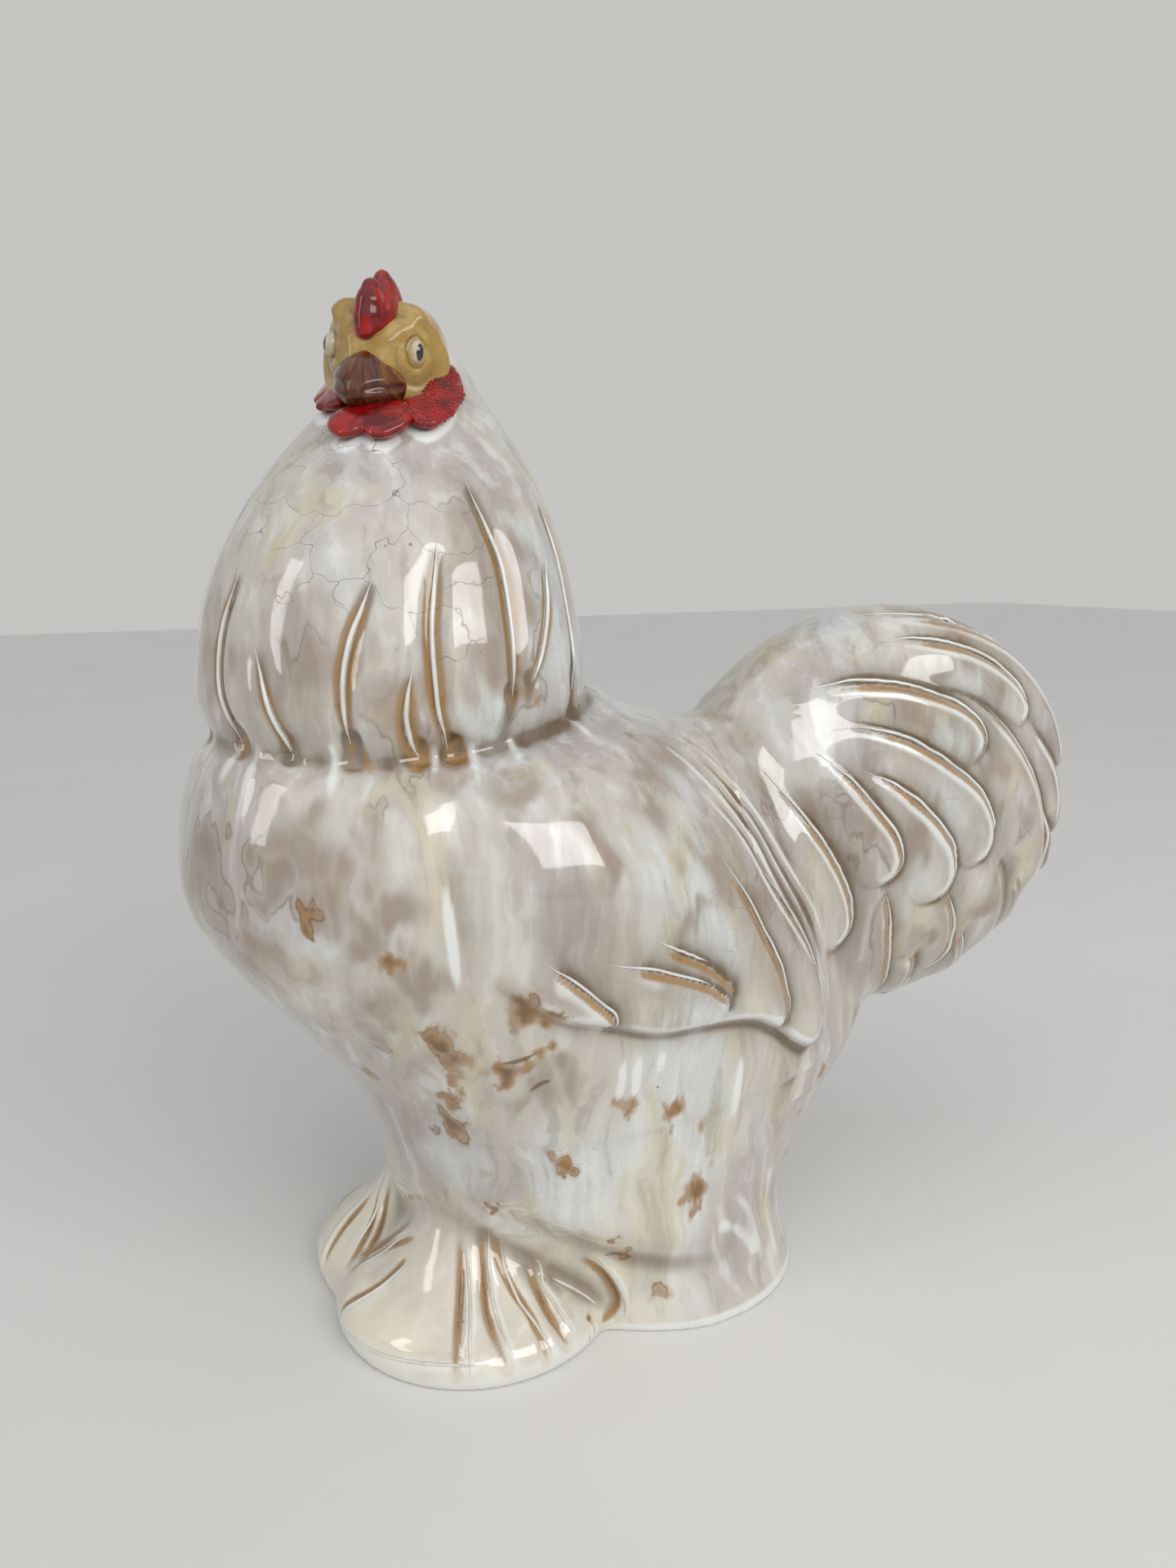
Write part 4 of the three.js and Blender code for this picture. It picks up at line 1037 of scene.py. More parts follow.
def new_group(name, inputs, outputs):
    """A shader node group with named sockets, given as (name, kind, default)."""
    group = bpy.data.node_groups.new(name, "ShaderNodeTree")
    for label, kind, default in inputs:
        socket = group.interface.new_socket(label, in_out="INPUT", socket_type=kind)
        if default is not None:
            socket.default_value = default
    for label, kind in outputs:
        group.interface.new_socket(label, in_out="OUTPUT", socket_type=kind)
    n = Nodes(group)
    return group, n, n.add("NodeGroupInput").outputs, n.add("NodeGroupOutput").inputs


def fired_glaze_group(colours):
    """Layered glaze: pearly grey that drifts to lilac, blue-white and cream in vertical streaks, mauve clouds
    with thin drip edges, amber where it runs thin over edges and grooves, stains, pale pools and craze lines."""
    number = "NodeSocketFloat"
    masks = ("Amber", "Pale", "Cloud", "Stain", "Drip", "Crackle", "Warmth", "Fine", "Broad", "Hollow")
    group, n, g, out = new_group(
        "fired_glaze", [("Vector", "NodeSocketVector", None), *[(m, number, 0.0) for m in masks]],
        [("Color", "NodeSocketColor"), ("Roughness", number), ("Height", number)])
    place = g["Vector"]
    wobble = n.add("ShaderNodeTexNoise", {"Vector": place, "Scale": 24.0, "Detail": 2.0}).outputs["Color"]
    centred = n.add("ShaderNodeVectorMath", {0: wobble, 1: (0.5, 0.5, 0.5)}, operation="SUBTRACT").outputs[0]
    drift = n.add("ShaderNodeVectorMath", {0: centred, "Scale": 0.022}, operation="SCALE").outputs[0]
    run = n.add("ShaderNodeVectorMath", {0: place, 1: drift}, operation="ADD").outputs[0]
    wide = n.noise(n.place(run, (1, 1, 0.55)), 13.0, 3.0, 0.5)
    second = n.noise(n.place(run, (1, 1, 0.5), (3.1, 1.7, 0.4)), 17.0, 3.0, 0.5)
    patches = n.noise(n.place(run, (1, 1, 0.38)), 36.0, 4.0, 0.55, 0.4)
    streaks = n.noise(n.place(run, (1, 1, 0.12), (0.3, 0.9, 0)), 88.0, 3.0, 0.55)
    speck = n.noise(place, 420.0, 3.0, 0.6)

    colour = n.mix(n.span(wide, 0.42, 0.6), colours["pearl"], colours["lilac"])
    colour = n.mix(n.math("MULTIPLY", n.span(second, 0.45, 0.66), 0.7), colour, colours["blue_white"])
    colour = n.mix(n.math("MULTIPLY", n.span(patches, 0.53, 0.66), 0.7), colour, colours["cream"])
    colour = n.mix(n.math("MULTIPLY", n.span(patches, 0.48, 0.3), 0.25), colour, colours["cloud"])
    colour = n.mix(n.math("MULTIPLY", n.span(streaks, 0.5, 0.7), 0.5), colour, colours["white"])
    colour = n.mix(n.math("MULTIPLY", n.span(streaks, 0.47, 0.32), 0.5), colour, colours["grey"])
    warm = n.math("MULTIPLY", g["Warmth"], n.span(wide, 0.62, 0.36, 0.5, 0.95))
    colour = n.mix(warm, colour, colours["warm"])

    ragged = n.math("ADD", n.math("MULTIPLY", n.math("SUBTRACT", patches, 0.5), 0.5),
                    n.math("MULTIPLY", n.math("SUBTRACT", streaks, 0.5), 0.6))
    cloud = n.math("ADD", g["Cloud"], ragged)
    haze = n.math("MULTIPLY", n.span(cloud, 0.05, 1.0), n.span(streaks, 0.3, 0.6, 0.55, 0.8))
    colour = n.mix(haze, colour, colours["cloud"])
    rim = n.math("MULTIPLY", n.span(cloud, 0.36, 0.42), n.span(cloud, 0.52, 0.43))
    colour = n.mix(n.math("MULTIPLY", rim, n.span(wide, 0.48, 0.56, 0.0, 0.5)), colour, colours["shade"])

    # Painted shade in broad dips, where the surface lies below its smoothed shape
    shade = n.math("MULTIPLY", n.span(g["Broad"], 0.06, -0.3), n.span(patches, 0.3, 0.6, 0.45, 0.95))
    colour = n.mix(n.math("MULTIPLY", shade, 0.6), colour, colours["shade"])
    # Painted shade below the feathers' outer edges, turning to the crease colour where it is strongest
    hollow = n.math("MULTIPLY", g["Hollow"], n.span(streaks, 0.3, 0.7, 0.75, 1.0))
    colour = n.mix(hollow, colour, colours["shade"])
    colour = n.mix(n.math("MULTIPLY", n.span(hollow, 0.4, 0.9), 0.8), colour, colours["crease"])
    # Painted shade in fine creases, together with the brown of glaze pooled there; weaker on the cream feet
    crease = n.math("MULTIPLY", n.span(g["Fine"], -0.03, -0.2), n.span(patches, 0.35, 0.6, 0.6, 1.0))
    crease = n.math("MULTIPLY", crease, n.span(g["Warmth"], 0.1, 0.8, 0.9, 0.35))
    colour = n.mix(crease, colour, colours["crease"])
    # Painted highlight on fine ridges, together with the pale glaze that breaks over them; kept off the painted shade
    # below feather edges
    wear_and_highlight = n.math("MULTIPLY", n.span(g["Fine"], 0.09, 0.2), n.span(g["Hollow"], 0.5, 0.1, 0.1, 0.75))
    colour = n.mix(wear_and_highlight, colour, colours["white"])

    thin = n.math("ADD", g["Amber"], n.math("MULTIPLY", n.math("SUBTRACT", patches, 0.5), 0.75))
    thin = n.math("ADD", thin, n.math("MULTIPLY", n.math("SUBTRACT", streaks, 0.5), 0.5))
    colour = n.mix(n.math("MULTIPLY", n.span(thin, 0.34, 0.74), 0.85), colour, colours["amber"])
    colour = n.mix(n.math("MULTIPLY", n.span(thin, 0.82, 1.15), 0.8), colour, colours["brown"])

    fray = n.math("MULTIPLY", n.math("SUBTRACT", n.noise(n.place(run, (1, 1, 0.6)), 62.0, 4.0, 0.55, 0.5), 0.5), 1.8)
    # Brown stains, and painted shade under the wing's lower edge
    stain = n.math("ADD", g["Stain"], fray)
    colour = n.mix(n.math("MULTIPLY", n.span(stain, 0.2, 0.85), n.span(streaks, 0.3, 0.65, 0.6, 1.0)),
                   colour, colours["amber"])
    colour = n.mix(n.span(stain, 0.65, 1.2, 0.0, 0.85), colour, colours["brown"])
    stain_rim = n.math("MULTIPLY", n.span(stain, 0.5, 0.58), n.span(stain, 0.72, 0.6))
    colour = n.mix(n.math("MULTIPLY", stain_rim, n.span(wide, 0.42, 0.55, 0.1, 0.75)), colour, colours["brown"])
    drip = n.span(n.math("ADD", g["Drip"], n.math("MULTIPLY", fray, 0.35)), 0.45, 0.8)
    colour = n.mix(n.math("MULTIPLY", drip, 0.8), colour, colours["brown"])

    pool = n.math("ADD", g["Pale"], n.math("MULTIPLY", n.math("SUBTRACT", streaks, 0.5), 0.5))
    colour = n.mix(n.math("MULTIPLY", n.span(pool, 0.3, 0.75), 0.85), colour, colours["white"])

    bent = n.add("ShaderNodeVectorMath", {0: run, 1: n.add("ShaderNodeVectorMath", {0: n.add(
        "ShaderNodeTexNoise", {"Vector": place, "Scale": 70.0, "Detail": 2.0}).outputs["Color"], "Scale": 0.016},
        operation="SCALE").outputs[0]}, operation="ADD").outputs[0]
    cells = n.add("ShaderNodeTexVoronoi", {"Vector": bent, "Scale": 36.0}, feature="DISTANCE_TO_EDGE").outputs["Distance"]
    small = n.add("ShaderNodeTexVoronoi", {"Vector": run, "Scale": 120.0}, feature="DISTANCE_TO_EDGE").outputs["Distance"]
    few = n.math("MULTIPLY", n.span(cells, 0.007, 0.002), n.span(g["Crackle"], 0.08, 0.3))
    many = n.math("MULTIPLY", n.span(small, 0.012, 0.003), n.span(second, 0.55, 0.64, 0.0, 0.4))
    craze = n.math("MAXIMUM", few, many)
    colour = n.mix(n.math("MULTIPLY", craze, 0.75), colour, colours["craze"])
    dots = n.add("ShaderNodeTexVoronoi", {"Vector": place, "Scale": 75.0}).outputs
    pit = n.math("MULTIPLY", n.span(dots["Distance"], 0.075, 0.045), n.span(dots["Color"], 0.8, 0.82))
    colour = n.mix(n.math("MULTIPLY", pit, 0.7), colour, colours["pit"])

    n.put(out["Color"], colour)
    matt = n.math("ADD", n.math("MULTIPLY", n.span(streaks, 0.35, 0.65), 0.04), 0.08)
    n.put(out["Roughness"], n.math("ADD", matt, n.math("MULTIPLY", n.span(thin, 0.5, 1.0), 0.08)))
    skin = n.math("ADD", n.math("MULTIPLY", patches, 0.5), n.math("MULTIPLY", streaks, 0.35))
    skin = n.math("ADD", skin, n.math("MULTIPLY", speck, 0.03))
    n.put(out["Height"], n.math("SUBTRACT", skin, n.math("MULTIPLY", n.math("MAXIMUM", pit, craze), 0.18)))
    return group


def stroke_group():
    """Brush strokes of underglaze colour: a mask of fine lines along one direction, and a broader one."""
    group, n, g, out = new_group(
        "brushed_underglaze", [("Vector", "NodeSocketVector", None), ("Length", "NodeSocketFloat", 0.12)],
        [("Strokes", "NodeSocketFloat"), ("Patches", "NodeSocketFloat")])
    stretch = n.add("ShaderNodeCombineXYZ", {0: 1.0, 1: 1.0, 2: g["Length"]}).outputs[0]
    along = n.add("ShaderNodeVectorMath", {0: g["Vector"], 1: stretch}, operation="MULTIPLY").outputs[0]
    n.put(out["Strokes"], n.noise(along, 620.0, 4.0, 0.65, 0.6))
    n.put(out["Patches"], n.noise(g["Vector"], 110.0, 3.0, 0.55, 0.3))
    return group


def glossy(name, coat=0.7, coat_rough=0.025):
    """A material with its shader set for fired gloss, its nodes and its surface coordinates."""
    mat = bpy.data.materials.new(name)
    mat.use_nodes = True
    shader = mat.node_tree.nodes["Principled BSDF"]
    shader.inputs["Coat Weight"].default_value = coat
    shader.inputs["Coat Roughness"].default_value = coat_rough
    shader.inputs["IOR"].default_value = 1.5
    n = Nodes(mat.node_tree)
    return mat, n, shader, n.add("ShaderNodeTexCoord").outputs["Object"]


def bump(n, shader, height, strength, distance):
    node = n.add("ShaderNodeBump", {"Strength": strength, "Distance": distance, "Height": height})
    n.put(shader.inputs["Normal"], node.outputs[0])


def glaze_material(name, group, warmth=0.0, edge=None):
    """The layered glaze. With an edge it is the thin pale glaze that gathers on the feathers' rolled edges."""
    mat, n, shader, place = glossy(name)
    node = n.add("ShaderNodeGroup", node_tree=group)
    n.put(node.inputs["Vector"], place)
    if edge is None:
        for socket, attribute in (("Amber", "amber"), ("Pale", "pale"), ("Cloud", "cloud"), ("Stain", "stain"),
                                  ("Drip", "drip"), ("Crackle", "crackle"), ("Fine", "relief_fine"),
                                  ("Broad", "relief_broad"), ("Hollow", "hollow")):
            n.put(node.inputs[socket], n.attribute(attribute))
        n.put(node.inputs["Warmth"], n.math("MAXIMUM", n.attribute("warmth"), warmth))
    else:
        for socket, value in edge.items():
            node.inputs[socket].default_value = value
    n.put(shader.inputs["Base Color"], node.outputs["Color"])
    n.put(shader.inputs["Roughness"], node.outputs["Roughness"])
    bump(n, shader, node.outputs["Height"], 0.35, 0.0012)
    return mat


def face_material(colours, strokes):
    mat, n, shader, place = glossy("face_glaze", 0.4, 0.05)
    shader.inputs["Specular IOR Level"].default_value = 0.3
    brush = n.add("ShaderNodeGroup", node_tree=strokes)
    n.put(brush.inputs["Vector"], place)
    brush.inputs["Length"].default_value = 0.5
    fine = n.attribute("relief_fine")
    colour = n.mix(n.span(brush.outputs["Patches"], 0.38, 0.64), colours["face"], colours["face_pale"])
    colour = n.mix(n.math("MULTIPLY", n.span(brush.outputs["Strokes"], 0.55, 0.75), 0.35), colour, colours["face_dark"])
    # Painted shade where the face lies below its smoothed shape, as round the eyes and under the brows
    hollow = n.span(n.attribute("relief_broad"), 0.08, -0.22)
    colour = n.mix(n.math("MULTIPLY", hollow, 0.65), colour, colours["face_dark"])
    # Painted shade in the face's fine creases
    colour = n.mix(n.math("MULTIPLY", n.span(fine, -0.04, -0.2), 0.7), colour, colours["face_dark"])
    colour = n.mix(n.math("MULTIPLY", n.span(fine, 0.14, 0.3), 0.5), colour, colours["amber"])
    n.put(shader.inputs["Base Color"], colour)
    n.put(shader.inputs["Roughness"], n.span(brush.outputs["Strokes"], 0.3, 0.7, 0.12, 0.22))
    bump(n, shader, brush.outputs["Patches"], 0.25, 0.0006)
    return mat


def red_material(colours, strokes):
    mat, n, shader, place = glossy("red_glaze", 0.45, 0.03)
    shader.inputs["Specular IOR Level"].default_value = 0.25
    brush = n.add("ShaderNodeGroup", node_tree=strokes)
    n.put(brush.inputs["Vector"], place)
    brush.inputs["Length"].default_value = 0.14
    fine = n.attribute("relief_fine")
    rub = n.math("ADD", n.attribute("rubbed"), n.math("SUBTRACT", brush.outputs["Strokes"], 0.5))
    colour = n.mix(n.span(brush.outputs["Patches"], 0.35, 0.65), colours["red_dark"], colours["red"])
    colour = n.mix(n.math("MULTIPLY", n.span(brush.outputs["Strokes"], 0.5, 0.72), 0.45), colour, colours["red_dark"])
    colour = n.mix(n.math("MULTIPLY", n.span(rub, 0.42, 0.95), 0.75), colour, colours["rust"])
    # Painted shade in the creases, together with the deeper red where the glaze pools
    colour = n.mix(n.math("MULTIPLY", n.span(fine, -0.05, -0.22), 0.6), colour, colours["red_dark"])
    colour = n.mix(n.math("MULTIPLY", n.span(fine, 0.2, 0.4), 0.25), colour, colours["rust"])
    n.put(shader.inputs["Base Color"], colour)
    n.put(shader.inputs["Roughness"], n.span(brush.outputs["Strokes"], 0.3, 0.7, 0.08, 0.16))
    bump(n, shader, brush.outputs["Strokes"], 0.2, 0.0005)
    return mat


def beak_material(colours):
    mat, n, shader, _ = glossy("beak_glaze", 0.5, 0.04)
    shader.inputs["Specular IOR Level"].default_value = 0.25
    lines = n.add("ShaderNodeCombineXYZ", {0: n.attribute("stroke_side"), 1: n.attribute("stroke_along"),
                                           2: n.attribute("stroke_rise")}).outputs[0]
    streak = n.noise(lines, 5.2, 5.0, 0.65, 0.25)
    soft = n.noise(lines, 1.5, 2.0, 0.5, 0.2)
    fine = n.attribute("relief_fine")
    colour = n.mix(n.span(streak, 0.36, 0.64), colours["beak_dark"], colours["beak"])
    colour = n.mix(n.math("MULTIPLY", n.span(soft, 0.48, 0.66), 0.75), colour, colours["beak_pale"])
    colour = n.mix(n.math("MULTIPLY", n.span(fine, -0.05, -0.3), 0.95), colour, colours["beak_line"])
    n.put(shader.inputs["Base Color"], colour)
    n.put(shader.inputs["Roughness"], n.span(streak, 0.3, 0.7, 0.08, 0.16))
    bump(n, shader, streak, 0.25, 0.0005)
    return mat


def eye_material(colours):
    mat, n, shader, place = glossy("eye_glaze", 0.9, 0.03)
    ring = n.math("ADD", n.attribute("from_pupil"), n.math("MULTIPLY", n.math("SUBTRACT", n.noise(place, 700.0), 0.5), 0.12))
    white = n.mix(n.noise(place, 260.0, 2.0), colours["eye"], colours["eye_warm"])
    white = n.mix(n.span(ring, 2.0, 2.5), white, colours["face_dark"])
    colour = n.mix(n.span(ring, 1.06, 0.94), white, colours["pupil"])
    n.put(shader.inputs["Base Color"], colour)
    n.put(shader.inputs["Roughness"], n.span(ring, 0.9, 1.2, 0.1, 0.2))
    return mat


def floor_material(colours):
    mat = bpy.data.materials.new("floor_paper")
    mat.use_nodes = True
    n = Nodes(mat.node_tree)
    shader = mat.node_tree.nodes["Principled BSDF"]
    grain = n.noise(n.add("ShaderNodeTexCoord").outputs["Object"], 3.0, 4.0, 0.6)
    n.put(shader.inputs["Base Color"], n.mix(grain, colours["floor"], colours["floor_grain"]))
    shader.inputs["Roughness"].default_value = 0.55
    return mat


# Colours a user may change, as sRGB codes
PALETTE = {
    "pearl": ("c2bcb1", "Pearl grey of the body glaze"),
    "lilac": ("aea5a0", "Lilac grey that the pearl drifts to"),
    "blue_white": ("cdd3d2", "Blue-white streaks"),
    "cream": ("c4bb9f", "Cream patches"),
    # white is thick white glaze, and also the painted highlight on fine ridges
    "white": ("e0e2de", "Thick white glaze"),
    "grey": ("958c80", "Thin grey glaze"),
    "warm": ("eae1cc", "Cream glaze of the feet"),
    "cloud": ("8c7868", "Mauve-brown clouds"),
    # shade is painted shade in broad dips and below the feathers' outer edges, and also the dark edge of the glaze
    # clouds
    "shade": ("6c5b45", "Thin glaze in the hollows"),
    # crease is painted shade in the creases, together with the brown of glaze pooled there
    "crease": ("59411f", "Glaze in the creases"),
    "amber": ("9a733c", "Amber where the glaze is thin"),
    "brown": ("64421f", "Brown edges of drips and stains"),
    "craze": ("5c534c", "Craze lines"),
    "pit": ("5a4636", "Pinholes"),
    "face": ("a18140", "Tan of the face"),
    "face_pale": ("b2985c", "Pale tan of the face"),
    # face_dark is the dark tan of brush strokes and eye rims, and in dips and creases painted shade
    "face_dark": ("6f5322", "Dark tan in the face's hollows"),
    "red": ("a0060a", "Red of the comb and wattles"),
    # red_dark is the deep red of strokes and patches, and in the creases also painted shade
    "red_dark": ("5c0306", "Deep red in the hollows"),
    "rust": ("8c2a18", "Rubbed, rusty red"),
    "beak": ("632f11", "Brown of the beak"),
    "beak_dark": ("351406", "Dark strokes on the beak"),
    "beak_pale": ("8f5822", "Pale strokes on the beak"),
    "beak_line": ("3a0f08", "Line of the mouth"),
    "eye": ("c6bda6", "Off-white of the eyes"),
    "eye_warm": ("a99a74", "Shade on the eyes"),
    "pupil": ("0c0b0c", "Pupils"),
    "floor": ("e6e4e0", "Floor"),
    "floor_grain": ("dedcd8", "Grain of the floor"),
}
# Sizes a user may change: name, default in metres, description
SIZES = [
    ("clay_cell", 0.0018, "Grain of the modelled clay"),
    ("head_cell", 0.0007, "Grain of the clay of the head"),
    ("wing_proud", 0.0065, "How far the wings stand out"),
    ("wing_feather_proud", 0.0048, "How far the wing's tip feathers stand out"),
    ("tail_feather_proud", 0.0095, "How far the tail feathers stand out"),
    ("groove_depth", 0.0046, "Depth of the neck cape's grooves"),
    ("edge_girth", 0.0011, "Thickness of the rolled glaze on feather edges"),
    ("pebble", 0.00075, "Size of the pebbles on the side wattles"),
]

RoosterColours = type("RoosterColours", (bpy.types.PropertyGroup,), {
    "__doc__": "Glaze colours of the rooster",
    "__annotations__": {name: bpy.props.FloatVectorProperty(name=text, description=text, subtype="COLOR", size=4,
                                                            min=0, max=1, default=linear(code))
                        for name, (code, text) in PALETTE.items()},
})
RoosterSizes = type("RoosterSizes", (bpy.types.PropertyGroup,), {
    "__doc__": "Sizes of the rooster's modelled details",
    "__annotations__": {name: bpy.props.FloatProperty(name=name.replace("_", " ").capitalize(), description=text,
                                                      default=size, min=0.0001, unit="LENGTH")
                        for name, size, text in SIZES},
})

finishes = {}


def finish(name):
    """A material of the figure, made once from the chosen colours."""
    if not finishes:
        chosen = bpy.context.scene.rooster_colours
        colours = {key: tuple(getattr(chosen, key)) for key in PALETTE}
        glaze, strokes = fired_glaze_group(colours), stroke_group()
        finishes.update(
            pearl_glaze=glaze_material("pearl_glaze", glaze),
            cream_glaze=glaze_material("cream_glaze", glaze, 0.75),
            edge_glaze=glaze_material("edge_glaze", glaze, edge={"Pale": 0.62, "Amber": 0.12}),
            toe_edge_glaze=glaze_material("toe_edge_glaze", glaze, edge={"Pale": 0.45, "Amber": 0.3, "Warmth": 0.8}),
            face_glaze=face_material(colours, strokes),
            red_glaze=red_material(colours, strokes),
            beak_glaze=beak_material(colours),
            eye_glaze=eye_material(colours),
            floor_paper=floor_material(colours),
        )
    return finishes[name]


def chosen_sizes():
    """The sizes in millimetres."""
    chosen = bpy.context.scene.rooster_sizes
    sizes = {name: getattr(chosen, name) / MM for name, _, _ in SIZES}
    sizes["cell"] = sizes["clay_cell"]
    return sizes


def declare(piece, nodes, material):
    """Gives a finished piece its glaze, its body and the nodes that it stands for."""
    if material is not None:
        piece.data.materials.append(finish(material))
    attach(piece, "root")
    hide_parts(*nodes)


def faces_of(name, side=0):
    fig = model_figure(chosen_sizes())
    keep = fig["label"] == fig["names"].index(name)
    return keep & (fig["centres"][:, 0] * side > 0) if side else keep


# Geometry node trees
def grow(tree, source, values):
    """Runs a geometry node tree on a mesh object and keeps the result as its plain mesh."""
    modifier = source.modifiers.new(tree.name, "NODES")
    modifier.node_group = tree
    for item in tree.interface.items_tree:
        if item.in_out == "INPUT" and item.name in values:
            modifier[item.identifier] = values[item.name]
    shown = source.evaluated_get(bpy.context.evaluated_depsgraph_get())
    mesh = bpy.data.meshes.new_from_object(shown)
    source.modifiers.remove(modifier)
    old = source.data
    source.data = mesh
    mesh.name = old.name
    bpy.data.meshes.remove(old)
    return source


def new_tree(name, inputs):
    tree = bpy.data.node_groups.new(name, "GeometryNodeTree")
    tree.interface.new_socket("Geometry", in_out="INPUT", socket_type="NodeSocketGeometry")
    for label, kind, default in inputs:
        tree.interface.new_socket(label, in_out="INPUT", socket_type=kind).default_value = default
    tree.interface.new_socket("Geometry", in_out="OUTPUT", socket_type="NodeSocketGeometry")
    n = Nodes(tree)
    return tree, n, n.add("NodeGroupInput").outputs, n.add("NodeGroupOutput").inputs


def edge_tree(material):
    """Rolls a round bar of glaze along each line of a mesh, as thick as the line's own girth says."""
    tree, n, g, out = new_tree("rolled_edge_" + material, [("Sides", "NodeSocketInt", 8), ("Girth", "NodeSocketFloat", 1.0)])
    girth = n.add("GeometryNodeInputNamedAttribute", {"Name": "girth"}, data_type="FLOAT").outputs[0]
    thick = n.math("MULTIPLY", girth, g["Girth"])
    lines = n.add("GeometryNodeMeshToCurve", {"Mesh": g["Geometry"]}).outputs[0]
    ring = n.add("GeometryNodeCurvePrimitiveCircle", {"Resolution": g["Sides"], "Radius": 1.0}).outputs[0]
    sweep = n.add("GeometryNodeCurveToMesh", {"Fill Caps": True})
    n.put(sweep.inputs["Profile Curve"], ring)
    if "Scale" in sweep.inputs:
        n.put(sweep.inputs["Curve"], lines)
        n.put(sweep.inputs["Scale"], thick)
    else:
        n.put(sweep.inputs["Curve"], n.add("GeometryNodeSetCurveRadius", {"Curve": lines, "Radius": thick}).outputs[0])
    smooth = n.add("GeometryNodeSetShadeSmooth", {0: sweep.outputs[0], "Shade Smooth": True}).outputs[0]
    real = n.add("GeometryNodeRealizeInstances", {0: smooth}).outputs[0]
    n.put(out["Geometry"], n.add("GeometryNodeSetMaterial", {"Geometry": real, "Material": finish(material)}).outputs[0])
    return tree


def pebble_tree(material):
    """Scatters small worn pebbles over a wattle, where its own mask says."""
    tree, n, g, out = new_tree("wattle_pebbles", [("Pebble", "NodeSocketFloat", 0.0007), ("Spacing", "NodeSocketFloat", 0.0016),
                                                  ("Seed", "NodeSocketInt", 7)])
    mask = n.add("GeometryNodeInputNamedAttribute", {"Name": "pebbled"}, data_type="FLOAT").outputs[0]
    spread = n.add("GeometryNodeDistributePointsOnFaces", distribute_method="POISSON")
    for key, value in (("Mesh", g["Geometry"]), ("Distance Min", g["Spacing"]), ("Density Max", 700000.0),
                       ("Density Factor", mask), ("Seed", g["Seed"])):
        n.put(spread.inputs[key], value)
    stone = n.add("GeometryNodeMeshIcoSphere", {"Radius": 1.0, "Subdivisions": 1}).outputs[0]
    wear_and_highlight = n.add("GeometryNodeStoreNamedAttribute", {"Geometry": stone, "Name": "rubbed"}, data_type="FLOAT", domain="POINT")
    [s for s in wear_and_highlight.inputs if s.name == "Value" and s.type == "VALUE"][0].default_value = 0.95
    size = n.add("FunctionNodeRandomValue", data_type="FLOAT")
    floats = [s for s in size.inputs if s.type == "VALUE" and s.name in ("Min", "Max")]
    floats[0].default_value, floats[1].default_value = 0.7, 1.25
    n.put([s for s in size.inputs if s.name == "Seed"][0], g["Seed"])
    measure = n.math("MULTIPLY", [s for s in size.outputs if s.type == "VALUE"][0], g["Pebble"])
    shape = n.add("ShaderNodeCombineXYZ", {0: n.math("MULTIPLY", measure, 1.35), 1: measure,
                                           2: n.math("MULTIPLY", measure, 0.65)}).outputs[0]
    rest = n.add("GeometryNodeInstanceOnPoints")
    for key, value in (("Points", spread.outputs["Points"]), ("Instance", wear_and_highlight.outputs[0]), ("Rotation", spread.outputs["Rotation"]),
                       ("Scale", shape)):
        n.put(rest.inputs[key], value)
    smooth = n.add("GeometryNodeSetShadeSmooth", {0: rest.outputs[0], "Shade Smooth": True}).outputs[0]
    real = n.add("GeometryNodeRealizeInstances", {0: smooth}).outputs[0]
    n.put(out["Geometry"], n.add("GeometryNodeSetMaterial", {"Geometry": real, "Material": finish(material)}).outputs[0])
    return tree


def roll_edges(name, lines, girths, nodes, material, lift=0.25):
    """Rolled glaze along lines on the clay, thickest in their middle."""
    clay = figure["clay"]
    mesh = bpy.data.meshes.new(name)
    points, edges, girth = [], [], []
    for path, thick in zip(lines, girths):
        path = spline(path[::2] if len(path) > 12 else path, 3)
        path = clay.settle(path)
        path = path + clay.normals(path, 1.5) * (lift * thick)
        t = np.linspace(0, 1, len(path))
        swell = 0.12 + 0.88 * ease(t, 0, 0.3) * ease(1 - t, 0, 0.22)
        start = len(points)
        points += (path * MM).tolist()
        edges += [(start + k, start + k + 1) for k in range(len(path) - 1)]
        girth += (thick * MM * swell).tolist()
    mesh.from_pydata(points, edges, [])
    mesh.attributes.new("girth", "FLOAT", "POINT").data.foreach_set("value", girth)
    piece = bpy.data.objects.new(name, mesh)
    bpy.context.scene.collection.objects.link(piece)
    grow(edge_tree(material), piece, {"Sides": 8, "Girth": 1.0})
    declare(piece, nodes, None)
    return piece


# Operators
class ROOSTER_OT_body(bpy.types.Operator):
    """Hollow body from its foot to the shoulders"""
    bl_idname = "rooster.body"
    bl_label = "Body"

    def execute(self, context):
        declare(cut_piece("body", faces_of("body")), ["body_shell"], "pearl_glaze")
        return {"FINISHED"}


class ROOSTER_OT_cape(bpy.types.Operator):
    """Neck cape with its grooved feathers"""
    bl_idname = "rooster.cape"
    bl_label = "Neck cape"

    def execute(self, context):
        declare(cut_piece("cape", faces_of("cape")), ["cape_shell"], "pearl_glaze")
        lines = figure["edges"]["cape"]
        roll_edges("cape_ridges", lines, [0.95 * chosen_sizes()["edge_girth"]] * len(lines), ["cape_shell"],
                   "edge_glaze", 1.0)
        return {"FINISHED"}


